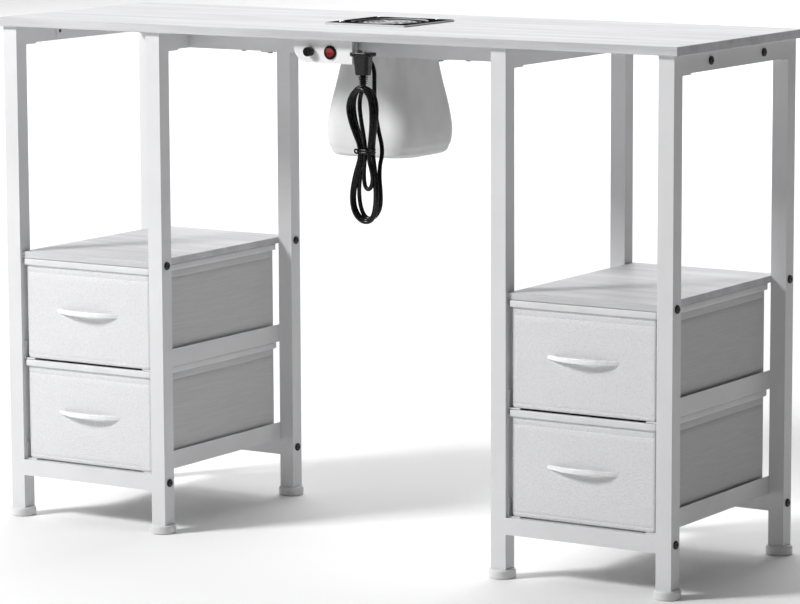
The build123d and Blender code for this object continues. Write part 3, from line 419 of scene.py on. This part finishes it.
def round_path(points, profile, places=16):
    """Rings of a profile (radius, along) swept round a path, as points for a tube along it."""
    rings = []
    side = None
    for number, point in enumerate(points):
        before = points[max(0, number - 1)]
        after = points[min(len(points) - 1, number + 1)]
        ahead = (after - before).normalized()
        if side is None:
            side = ahead.orthogonal().normalized()
        side = (side - ahead * side.dot(ahead)).normalized()
        up = ahead.cross(side)
        radius = profile(number)
        for place in range(places):
            angle = 2 * pi * place / places
            rings.append(point + (side * cos(angle) + up * sin(angle)) * radius)
    return rings


def capped_tube(name, points, profile, material, body, places=16):
    """A closed tube along a path, with its radius from profile(number of the point)."""
    rings = round_path(points, profile, places)
    faces = grid_faces(len(points), places)
    faces.append(tuple(range(places)))
    faces.append(tuple(range((len(points) - 1) * places, len(points) * places)))
    return mesh_piece(name, rings, faces, [material], body)


def centre_of(low, high):
    """The middle of a box."""
    return tuple((a + b) / 2 for a, b in zip(low, high))


# ---------------------------------------------------------------- fabric drawers
BIN_CORNER = 0.0025
WALL = 0.003
HEM = 0.012
BOTTOM_SEAM = 0.006
SEAM_DEPTH = 0.0004
SWELL = 0.0011
RIPPLE = 0.00035
FRONT, SIDE, INSIDE, FLOOR = range(4)


def drawer_shell(prefix):
    """The drawer's cloth: a grained front, woven sides and a lining, with seams and soft bulges."""
    low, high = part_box(f"{prefix}_box")
    middle = centre_of(low, high)
    half_x = (high[0] - low[0]) / 2
    half_y = (high[1] - low[1]) / 2
    tall = high[2] - low[2]
    straight, rounds = 26, 5
    levels = [0.0, 0.0008, 0.003, BOTTOM_SEAM - 0.0005, BOTTOM_SEAM, BOTTOM_SEAM + 0.0005, 0.011]
    levels += [0.011 + (tall - HEM - 0.011) * step / 14 for step in range(1, 15)]
    levels += [tall - HEM + 0.0006, tall - HEM + 0.0012, tall - 0.004, tall]
    points, rows = [], 0

    def outside(level):
        row = []
        at_seam = abs(level - BOTTOM_SEAM) < 0.0003 or abs(level - tall + HEM - 0.0006) < 0.0003
        seam = SEAM_DEPTH if at_seam else 0.0
        hug = 0.0012 * max(0.0, 1 - level / 0.003)
        loop = rounded_loop(half_x, half_y, BIN_CORNER, straight, rounds)
        for x, y, out_x, out_y in loop:
            across = y / half_y if abs(out_x) > 0.9 else x / half_x
            swell = SWELL * sin(pi * min(1.0, max(0.0, level / tall))) * max(0.0, 1 - across * across)
            place = Vector((x * 14, y * 14, level * 20 + middle[0] * 7 + middle[2] * 9))
            ripple = RIPPLE * sin(place.x + 2.1 * sin(place.z)) * sin(place.y * 0.8 + place.z)
            if abs(out_x) < 0.9:
                ripple *= 0.45
            grow = swell + ripple * max(0.0, 1 - across ** 4) - seam - hug
            row.append((middle[0] + x + out_x * grow, middle[1] + y + out_y * grow, low[2] + level))
        return row

    def inside(level):
        loop = rounded_loop(half_x - WALL, half_y - WALL, BIN_CORNER * 0.4, straight, rounds)
        return [(middle[0] + x, middle[1] + y, low[2] + level) for x, y, _, _ in loop]

    for level in levels:
        points += outside(level)
        rows += 1
    for level in (tall, tall - 0.02, tall * 0.5, WALL * 2 + 0.0004, WALL * 2):
        points += inside(level)
        rows += 1
    columns = len(rounded_loop(half_x, half_y, BIN_CORNER, straight, rounds))
    faces = grid_faces(rows, columns)
    kinds = []
    front_columns = set(range(rounds, rounds + straight))
    for row in range(rows - 1):
        for column in range(columns):
            if row >= len(levels):
                kinds.append(INSIDE)
            elif column in front_columns:
                kinds.append(FRONT)
            else:
                kinds.append(SIDE)
    faces.append(tuple(range(columns)))
    kinds.append(SIDE)
    last = (rows - 1) * columns
    faces.append(tuple(range(last, last + columns)))
    kinds.append(FLOOR)
    materials = [FRONT_LEATHER, FINISH["drawer_fabric"], LINING, BOARD]
    shell = mesh_piece(f"{prefix}_cloth", points, faces, materials, prefix, kinds)
    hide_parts(f"{prefix}_box")
    piping(prefix, low, high)


def piping(prefix, low, high):
    """A fine welt sewn down each front corner, where the grained front meets the side cloth."""
    strips, faces = [], []
    places = 8
    for side_x in (low[0] + 0.0012, high[0] - 0.0012):
        heights = [low[2] + 0.004 + (high[2] - low[2] - 0.005) * step / 40 for step in range(41)]
        path = [Vector((side_x, low[1] + 0.0012, z)) for z in heights]
        start = len(strips)
        strips += round_path(path, lambda number: 0.0011 + 0.00012 * (number % 2), places)
        for face in grid_faces(len(path), places):
            faces.append(tuple(start + index for index in face))
        faces.append(tuple(start + place for place in range(places)))
        faces.append(tuple(start + (len(path) - 1) * places + place for place in range(places)))
    mesh_piece(f"{prefix}_welt", strips, faces, [THREAD], prefix)


def drawer_rim(prefix):
    """The rim's strip, flat on its outer face and rounded on its edges, going round the drawer's mouth."""
    low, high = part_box(f"{prefix}_rim")
    middle = centre_of(low, high)
    half_x = (high[0] - low[0]) / 2
    half_y = (high[1] - low[1]) / 2
    tall = high[2] - low[2]
    wide = 0.007
    soft = 0.0014
    profile = [(0.0, soft), (0.0, tall * 0.5), (0.0, tall - soft)]
    profile += [(-soft + soft * cos(a), tall - soft + soft * sin(a)) for a in (pi / 6, pi / 3, pi / 2)]
    profile += [(-wide + soft / 2, tall), (-wide, tall - soft / 2), (-wide, soft / 2), (-wide + soft / 2, 0.0)]
    profile += [(-soft, 0.0), (-soft * 0.3, soft * 0.3)]
    points = []
    columns = 0
    for offset, level in profile:
        loop = rounded_loop(half_x + offset, half_y + offset, max(0.0006, 0.004 + offset), 12, 6)
        columns = len(loop)
        points += [(middle[0] + x, middle[1] + y, low[2] + level) for x, y, _, _ in loop]
    faces = grid_faces(len(profile), columns, wrap_rows=True)
    rim = mesh_piece(f"{prefix}_rim_strip", points, faces, [FINISH["drawer_rim"]], prefix)
    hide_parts(f"{prefix}_rim")


def bow_handle(prefix):
    """A bow that swells from two feet on the drawer's front, round edged, with its two screws inside."""
    box_low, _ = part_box(f"{prefix}_box")
    low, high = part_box(f"{prefix}_handle")
    face_y = box_low[1]
    middle_x = (low[0] + high[0]) / 2
    middle_z = (low[2] + high[2]) / 2
    half = (high[0] - low[0]) / 2
    rise = face_y - low[1]
    inner_half, inner_rise = half - 0.012, rise - 0.0045
    tall = (high[2] - low[2]) / 2

    def arc(reach, height, part):
        radius = (reach * reach + height * height) / (2 * height)
        swing = 2 * atan(height / reach)
        angle = part * swing
        return radius * sin(angle), -(radius * cos(angle) - radius + height)

    places, steps = 20, 48
    points = []
    for step in range(steps + 1):
        part = -1 + 2 * step / steps
        outer, inner = arc(half, rise, part), arc(inner_half, inner_rise, part)
        middle = ((outer[0] + inner[0]) / 2, (outer[1] + inner[1]) / 2)
        arm = ((outer[0] - inner[0]) / 2, (outer[1] - inner[1]) / 2)
        for place in range(places):
            angle = 2 * pi * place / places
            across = abs(cos(angle)) ** 0.55 * (1 if cos(angle) >= 0 else -1)
            upward = abs(sin(angle)) ** 0.55 * (1 if sin(angle) >= 0 else -1)
            x = middle_x + middle[0] + arm[0] * across
            y = face_y + middle[1] + arm[1] * across
            points.append((x, y, middle_z + tall * upward * (0.86 + 0.14 * (1 - part * part))))
    faces = grid_faces(steps + 1, places)
    faces.append(tuple(range(places)))
    faces.append(tuple(range(steps * places, (steps + 1) * places)))
    bow = mesh_piece(f"{prefix}_bow", points, faces, [FINISH["drawer_handle"]], prefix)
    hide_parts(f"{prefix}_handle")
    wall_y = face_y + WALL
    for side in (-1, 1):
        seat = Vector((middle_x + side * (half - 0.005), wall_y - 0.0002, middle_z))
        dome = [seat + Vector((0, 0.0024 * along, 0)) for along in (0.0, 0.3, 0.7, 0.9, 1.0)]
        widths = (0.0040, 0.0040, 0.0034, 0.0024, 0.0008)
        name = f"{prefix}_handle_screw_{'left' if side < 0 else 'right'}"
        capped_tube(name, dome, lambda number: widths[number], BRIGHT_SCREW, prefix)


for level_name in ("lower", "upper"):
    for side_name in ("left", "right"):
        drawer_body = f"{level_name}_{side_name}_drawer"
        drawer_shell(drawer_body)
        drawer_rim(drawer_body)
        bow_handle(drawer_body)

# ---------------------------------------------------------------- shapes stacked in level rounded rings


def stacked(name, centre, levels, materials, body, kinds=None, closed=(True, True), shift=None):
    """A skin through rounded rings (z, half_x, half_y, corner), moved outward by shift(x, y, z) if given."""
    points = []
    for z, half_x, half_y, corner in levels:
        for x, y, out_x, out_y in rounded_loop(half_x, half_y, min(corner, half_x, half_y), 14, 8):
            grow = shift(x, y, z) if shift else 0.0
            points.append((centre[0] + x + out_x * grow, centre[1] + y + out_y * grow, z))
    columns = len(points) // len(levels)
    faces = grid_faces(len(levels), columns)
    face_kinds = [kinds(row) if kinds else 0 for row in range(len(levels) - 1) for _ in range(columns)]
    for is_closed, first in zip(closed, (0, (len(levels) - 1) * columns)):
        if is_closed:
            faces.append(tuple(range(first, first + columns)))
            face_kinds.append(kinds(len(levels) - 2) if kinds else 0)
    return mesh_piece(name, points, faces, materials, body, face_kinds)


# ---------------------------------------------------------------- dust bag
BAG_LOW, BAG_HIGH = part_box("filter_bag")
FAN_LOW, FAN_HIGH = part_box("fan_frame")
NECK_HALF = (FAN_HIGH[0] - FAN_LOW[0]) / 2
BAG_HALF = (BAG_HIGH[0] - BAG_LOW[0]) / 2
BAG_TALL = BAG_HIGH[2] - BAG_LOW[2]
CLOTH = 0.0012
WIDEST = 0.22


def bag_width(part):
    """Half width of the bag from its bottom (0) to the fan's edge (1)."""
    if part < WIDEST:
        return BAG_HALF - 0.0035 * (1 - part / WIDEST) ** 1.6
    return BAG_HALF - (BAG_HALF - NECK_HALF + 0.0015) * ((part - WIDEST) / (1 - WIDEST)) ** 1.15


def bag_folds(x, y, z):
    """Gathers under the neck's elastic, and long soft folds lower down."""
    part = (z - BAG_LOW[2]) / BAG_TALL
    turn = x * 95 + y * 70
    gathers = 0.0011 * sin(turn * 3.1) * max(0.0, 1 - abs(part - 0.84) / 0.12)
    folds = 0.0014 * sin(x * 41 + z * 9) * sin(y * 37 - z * 6) * sin(pi * min(1.0, part * 1.15))
    sag = 0.0024 * sin(pi * min(1.0, part * 1.4)) ** 2
    return gathers + folds + sag


def dust_bag():
    """A bag of non-woven cloth on the fan's body: elastic neck, gathers, sides that widen downward."""
    levels = []
    bottom = BAG_LOW[2]
    round_off = 0.011
    for step in range(7):
        angle = pi / 2 * step / 6
        inset = round_off * (1 - sin(angle))
        half = bag_width(0.0) + 0.0008 - inset
        levels.append((bottom + round_off * (1 - cos(angle)), half, half, 0.034))
    for step in range(1, 27):
        z = bottom + round_off + (FAN_LOW[2] - 0.006 - bottom - round_off) * step / 26
        part = (z - bottom) / (FAN_LOW[2] - bottom)
        half = bag_width(part) + 0.0014 * (1 - 2 * part)
        levels.append((z, half, half, 0.036 - 0.012 * part))
    neck = NECK_HALF + 0.0004
    neck_corner = 0.0070
    puckers = ((-0.004, 0.0010), (-0.001, 0.0004), (0.0, 0.0), (0.004, 0.0009), (0.008, 0.0009), (0.012, 0.0))
    for z, grow in puckers:
        levels.append((FAN_LOW[2] + z, neck + grow, neck + grow, neck_corner))
    levels.append((BAG_HIGH[2] - 0.0003, neck + 0.0004, neck + 0.0004, neck_corner))

    def shift(x, y, z):
        return bag_folds(x, y, z) if z < FAN_LOW[2] - 0.002 else 0.0

    centre = (0.0, 0.0)
    cloth = [FINISH["bag_cloth"]]
    bag = stacked("dust_bag", centre, levels, cloth, "table", closed=(True, False), shift=shift)
    thickness = bag.modifiers.new("cloth", "SOLIDIFY")
    thickness.thickness = CLOTH * 0.5
    thickness.offset = 1.0
    bag.modifiers.new("smooth", "SUBSURF").levels = 1
    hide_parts("filter_bag")
    elastic_half, elastic_z = neck + 0.0014, FAN_LOW[2] + 0.006
    elastic = [Vector((x, y, elastic_z)) for x, y, _, _ in rounded_loop(elastic_half, elastic_half, 0.0075, 40, 8)]
    rings = round_path(elastic, lambda number: 0.0011 + 0.00025 * (number % 2), 8)
    band_faces = grid_faces(len(elastic), 8, wrap_rows=True)
    mesh_piece("bag_elastic", rings, band_faces, [THREAD], "table")
    seam_path = []
    for step in range(31):
        part = step / 30
        seam_path.append(Vector((0.0, bag_width(part) + 0.0006, BAG_LOW[2] + 0.02 + part * (BAG_TALL - 0.05))))
    capped_tube("bag_seam", seam_path, lambda number: 0.0009, FINISH["bag_cloth"], "table", 8)


dust_bag()

# ---------------------------------------------------------------- mains cord, hank, tie and plug
CORD_DIA = 0.0064
GLAND_END = (0.0275, -0.150, 0.757)
LOOSE_ROUTE = (
    GLAND_END,
    (0.0455, -0.1505, 0.757),
    (0.0610, -0.1515, 0.748),
    (0.0700, -0.1530, 0.7325),
    (0.0715, -0.1555, 0.715),
    (0.0735, -0.1590, 0.684),
    (0.0810, -0.1620, 0.648),
    (0.0930, -0.1655, 0.614),
    (0.0895, -0.1730, 0.587),
)
HANK_LOW, HANK_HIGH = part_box("cord_hank")
TIE_LOW, TIE_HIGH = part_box("cord_tie")
PLUG_LOW, PLUG_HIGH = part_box("mains_plug")
TIE_X, TIE_Y, TIE_Z = centre_of(TIE_LOW, TIE_HIGH)
PLUG_X, PLUG_Y, _ = centre_of(PLUG_LOW, PLUG_HIGH)
TURNS = 3
TURN_POINTS = 18
FIRST_PHASE = 0.385
# each turn: half widths of its upper lobe left and right, lower lobe left and right, half width at the
# tie, and how far its top and bottom fall short of the hank's
TURN_SIZES = (
    (0.0136, 0.0215, 0.0119, 0.0172, 0.0075, 0.0040, 0.0045),
    (0.0184, 0.0212, 0.0215, 0.0122, 0.0035, 0.0018, 0.0020),
    (0.0177, 0.0163, 0.0194, 0.0149, 0.0075, 0.0000, 0.0000),
    (0.0120, 0.0167, 0.0140, 0.0150, 0.0040, 0.0030, 0.0040),
)
UPPER_X, LOWER_X = -0.0085, -0.0015
LAYER_REAR_Y, LAYER_FRONT_Y = HANK_HIGH[1] - 0.0034, HANK_LOW[1] + 0.0034


def hank_point(phase):
    """A point of the hank; whole phases are at the top, and each turn goes down on the right."""
    turn = int(phase)
    part = phase - turn
    blend_in = max(0.0, (part - 0.88) / 0.12)
    following = TURN_SIZES[min(turn + 1, TURNS)]
    sizes = [a + (b - a) * blend_in for a, b in zip(TURN_SIZES[turn], following)]
    upper_left, upper_right, lower_left, lower_right, waist, short_top, short_bottom = sizes
    angle = 2 * pi * part
    up = cos(angle)
    on_right = sin(angle) >= 0
    if up > 0:
        lobe = upper_right if on_right else upper_left
        reach = HANK_HIGH[2] - CORD_DIA / 2 - short_top
    else:
        lobe = lower_right if on_right else lower_left
        reach = HANK_LOW[2] + CORD_DIA / 2 + short_bottom
    z = TIE_Z + abs(up) * (reach - TIE_Z)
    shift_x = (UPPER_X if up > 0 else LOWER_X) * min(1.0, abs(up) * 1.6)
    side = 1 if on_right else -1
    x = TIE_X + shift_x + side * (waist * abs(sin(angle)) + lobe * abs(sin(2 * angle)) ** 0.95)
    layer = min(1.0, (phase - FIRST_PHASE) / TURNS)
    y = LAYER_REAR_Y + (LAYER_FRONT_Y - LAYER_REAR_Y) * layer + 0.0010 * sin(4 * angle + turn)
    return (x, min(LAYER_REAR_Y, max(LAYER_FRONT_Y, y)), z)


LAST_PHASE = TURNS + 0.20
HANK_SPAN = LAST_PHASE - FIRST_PHASE
HANK_STEPS = int(HANK_SPAN * TURN_POINTS)
HANK_POINTS = [hank_point(FIRST_PHASE + HANK_SPAN * step / HANK_STEPS) for step in range(HANK_STEPS + 1)]
FOLD_Y = LAYER_FRONT_Y + 0.0030
# the last fold of the lead hangs inside the lower lobe, then goes up through the tie to the plug
LAST_FOLD = (
    (TIE_X + 0.0050, FOLD_Y - 0.0020, TIE_Z - 0.010),
    (TIE_X + 0.0095, FOLD_Y - 0.0010, TIE_Z - 0.026),
    (TIE_X + 0.0115, FOLD_Y, TIE_Z - 0.040),
    (TIE_X + 0.0090, FOLD_Y, TIE_Z - 0.0530),
    (TIE_X + 0.0030, FOLD_Y, TIE_Z - 0.0570),
    (TIE_X - 0.0028, FOLD_Y, TIE_Z - 0.0515),
    (TIE_X - 0.0042, FOLD_Y, TIE_Z - 0.036),
    (TIE_X - 0.0030, FOLD_Y, TIE_Z - 0.018),
    (TIE_X - 0.0010, FOLD_Y, TIE_Z),
    (TIE_X - 0.0035, FOLD_Y, TIE_Z + 0.020),
    (TIE_X - 0.0080, FOLD_Y, TIE_Z + 0.042),
    (TIE_X - 0.0110, FOLD_Y, TIE_Z + 0.062),
    (TIE_X - 0.0115, PLUG_Y, TIE_Z + 0.077),
    (TIE_X - 0.0080, PLUG_Y, TIE_Z + 0.088),
    (PLUG_X, PLUG_Y, TIE_Z + 0.0955),
    (PLUG_X, PLUG_Y, PLUG_LOW[2] + 0.004),
)


def flexible(name, route, diameter, material, body):
    """A cord as a smooth spline with these control points."""
    curve = bpy.data.curves.new(name, "CURVE")
    curve.dimensions = "3D"
    curve.bevel_depth = diameter / 2
    curve.bevel_resolution = 6
    curve.resolution_u = 8
    curve.use_fill_caps = True
    spline = curve.splines.new("NURBS")
    spline.points.add(len(route) - 1)
    for place, point in enumerate(route):
        spline.points[place].co = (*point, 1.0)
    spline.order_u = 3
    spline.use_endpoint_u = True
    curve.materials.append(material)
    cord = bpy.data.objects.new(name, curve)
    bpy.context.scene.collection.objects.link(cord)
    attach(cord, body)
    return cord


def centre_line(cord):
    """The points that a cord's spline follows."""
    bare = cord.data.copy()
    bare.bevel_depth = 0.0
    holder = bpy.data.objects.new("bare_line", bare)
    mesh = bpy.data.meshes.new_from_object(holder)
    line = [vertex.co.copy() for vertex in mesh.vertices]
    bpy.data.objects.remove(holder)
    bpy.data.curves.remove(bare)
    bpy.data.meshes.remove(mesh)
    return line


FLANGE_THICK = 0.006
GRIP_LENGTH = 0.0276
NECK_RADIUS = 0.0042
RIBS = 4
RIB_PITCH = 0.0030


def ribbed_plug():
    """The moulded plug: flange, tapering grip and a ribbed relief."""
    flange_low = PLUG_HIGH[2] - FLANGE_THICK
    body_low = flange_low - GRIP_LENGTH
    levels = [
        (PLUG_LOW[2], 0.0036, 0.0036, 0.0036),
        (PLUG_LOW[2] + 0.0006, NECK_RADIUS, NECK_RADIUS, NECK_RADIUS),
        (PLUG_LOW[2] + 0.0030, 0.0044, 0.0044, 0.0044),
    ]
    for rib in range(RIBS):
        z = PLUG_LOW[2] + 0.0036 + RIB_PITCH * rib
        wide = 0.0060 + 0.0004 * rib
        levels.append((z, NECK_RADIUS, NECK_RADIUS, NECK_RADIUS))
        levels += [(z + 0.0001, wide, wide, wide), (z + 0.0014, wide, wide, wide)]
        levels.append((z + 0.0015, NECK_RADIUS, NECK_RADIUS, NECK_RADIUS))
    levels += [(body_low - 0.0002, 0.0050, 0.0050, 0.0050), (body_low, 0.0096, 0.0070, 0.0045)]
    levels += [(body_low + 0.0012, 0.0108, 0.0083, 0.0050)]
    levels += [(flange_low - 0.0008, 0.0130, 0.0100, 0.005), (flange_low, 0.0140, 0.0108, 0.005)]
    levels += [(flange_low + 0.0003, 0.0170, 0.0119, 0.006), (flange_low + 0.0012, 0.0178, 0.0125, 0.006)]
    levels += [(PLUG_HIGH[2] - 0.0012, 0.0178, 0.0125, 0.006), (PLUG_HIGH[2] - 0.0003, 0.0174, 0.0121, 0.006)]
    levels += [(PLUG_HIGH[2], 0.0168, 0.0115, 0.006)]
    plug = stacked("moulded_plug", (PLUG_X, PLUG_Y), levels, [FINISH["cord_black"]], "table")
    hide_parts("mains_plug")
    return plug


EAR_RADIUS = 0.00135
EAR_REACH = 0.0056
EAR_HEIGHT = 0.0060


def twist_tie():
    """A flat black tie pulled twice round the bundle, with a small loop left at each side."""
    half_x = (TIE_HIGH[0] - TIE_LOW[0]) / 2
    half_y = (TIE_HIGH[1] - TIE_LOW[1]) / 2
    levels = []
    for wind in range(2):
        middle = TIE_Z - 0.0019 + 0.0038 * wind
        for step in range(9):
            angle = -pi / 2 + pi * step / 8
            grow = 0.0012 * (cos(angle) - 1)
            levels.append((middle + 0.0018 * sin(angle), half_x - 0.0045 + grow, half_y - 0.0003 + grow, 0.0075))
    black = FINISH["black_plastic"]
    tie = stacked("twist_tie", (TIE_X, TIE_Y), levels, [black], "table", closed=(False, False))
    band = tie.modifiers.new("band", "SOLIDIFY")
    band.thickness = 0.0010
    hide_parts("cord_tie")
    ears = []
    for side in (-1, 1):
        root = Vector((TIE_X + side * (half_x - 0.0048), HANK_LOW[1] + 0.0006, TIE_Z))
        path = []
        for step in range(17):
            angle = 2 * pi * step / 17
            out = EAR_REACH / 2 * (1 - cos(angle))
            path.append(root + Vector((side * out, -0.0008 * sin(angle), EAR_HEIGHT / 2 * sin(angle))))
        name = f"tie_end_{'left' if side < 0 else 'right'}"
        ears.append(capped_tube(name, path, lambda number: EAR_RADIUS, black, "table", 10))
    return [tie] + ears


SUPPLY_ROUTE = list(LOOSE_ROUTE) + HANK_POINTS + list(LAST_FOLD)
supply = flexible("mains_cord", SUPPLY_ROUTE, CORD_DIA, FINISH["cord_black"], "table")
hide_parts("power_cord", "cord_hank")
SUPPLY_LINE = centre_line(supply)
print("mains cord length", round(sum((b - a).length for a, b in zip(SUPPLY_LINE, SUPPLY_LINE[1:])), 4))


def gland_sleeve():
    """The flexible ribbed sleeve over the cord's first stretch out of its gland."""
    reach = 0.026
    path, travelled = [SUPPLY_LINE[0]], 0.0
    for before, after in zip(SUPPLY_LINE, SUPPLY_LINE[1:]):
        travelled += (after - before).length
        if travelled > reach:
            break
        path.append(after)
    fine = []
    for before, after in zip(path, path[1:]):
        fine += [before.lerp(after, step / 4) for step in range(4)]
    count = len(fine)

    def profile(number):
        part = number / count
        return 0.0048 - 0.0012 * part - (0.0004 if number % 3 == 0 else 0.0)

    return capped_tube("gland_sleeve", fine, profile, FINISH["cord_black"], "table")


plug_piece = ribbed_plug()
tie_pieces = twist_tie()
sleeve = gland_sleeve()

LEAD_DIA = 0.004
LEAD_ROUTE = (
    (-0.020, -0.122, 0.752),
    (-0.020, -0.108, 0.7425),
    (-0.022, -0.084, 0.743),
    (-0.025, -0.074, 0.756),
    (-0.029, -0.066, 0.768),
    (-0.032, -0.060, 0.772),
)
lead = flexible("fan_lead_cord", LEAD_ROUTE, LEAD_DIA, FINISH["cord_black"], "table")
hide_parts("fan_lead")

# ---------------------------------------------------------------- floor, light, camera
scene = bpy.context.scene


def floor_and_wall():
    """One pale sheet: a floor that curves up into a wall far behind the table."""
    made = Shader("studio_white", (0.92, 0.92, 0.92), 0.9)
    made.set("Base Color", made.mix(made.noise(0.8), (0.90, 0.90, 0.90), (0.93, 0.93, 0.93)))
    made.bump(made.noise(300.0), 0.02, 0.0005)
    half, start, bend, top = 16.0, 10.0, 3.0, 9.0
    outline = [(-half, 0.0), (start, 0.0)]
    for step in range(1, 13):
        angle = pi / 2 * step / 12
        outline.append((start + bend * sin(angle), bend * (1 - cos(angle))))
    outline.append((start + bend, top))
    points = [(x, y, z - 0.0002) for y, z in outline for x in (-half, half)]
    faces = [(2 * row, 2 * row + 1, 2 * row + 3, 2 * row + 2) for row in range(len(outline) - 1)]
    mesh = bpy.data.meshes.new("studio_floor")
    mesh.from_pydata(points, [], faces)
    mesh.materials.append(made.material)
    mesh.polygons.foreach_set("use_smooth", [True] * len(faces))
    floor = bpy.data.objects.new("studio_floor", mesh)
    scene.collection.objects.link(floor)


def soft_light(name, place, aim, size, power):
    """A square soft box aimed at a point."""
    lamp = bpy.data.lights.new(name, "AREA")
    lamp.size = size
    lamp.energy = power
    holder = bpy.data.objects.new(name, lamp)
    holder.location = place
    holder.rotation_euler = (Vector(aim) - Vector(place)).to_track_quat("-Z", "Y").to_euler()
    scene.collection.objects.link(holder)


SKY_STRENGTH = 0.08
floor_and_wall()
world = bpy.data.worlds.new("studio")
scene.world = world
world.use_nodes = True
world.node_tree.nodes["Background"].inputs["Color"].default_value = (1.0, 1.0, 1.0, 1.0)
world.node_tree.nodes["Background"].inputs["Strength"].default_value = SKY_STRENGTH
scene.view_settings.view_transform = "Standard"
# each light: name, place, aim, side in metres, watts
LIGHTS = (
    ("key_front_left", (-2.5, -3.1, 3.1), (0.0, 0.0, 0.45), 1.0, 205.0),
    ("top_soft", (0.0, 0.2, 3.4), (0.0, 0.0, 0.5), 2.2, 24.0),
    ("floor_wash", (-3.4, 6.8, 6.0), (-3.4, 6.8, 0.0), 8.0, 760.0),
)
for light in LIGHTS:
    soft_light(*light)

CAMERA_PLACE = (3.064448, -4.823800, 1.202767)
CAMERA_YAW = 32.288
CAMERA_PITCH = 8.379
CAMERA_ROLL = -0.234
CAMERA_LENS = 169.552

camera_data = bpy.data.cameras.new("camera")
camera_data.sensor_width = 36.0
camera_data.lens = CAMERA_LENS
camera_data.clip_end = 60.0
camera = bpy.data.objects.new("camera", camera_data)
camera.location = CAMERA_PLACE
tilt = Matrix.Rotation(radians(90.0 - CAMERA_PITCH), 3, "X")
roll = Matrix.Rotation(radians(CAMERA_ROLL), 3, "Z")
camera.rotation_euler = (Matrix.Rotation(radians(CAMERA_YAW), 3, "Z") @ tilt @ roll).to_euler()
scene.collection.objects.link(camera)
scene.camera = camera
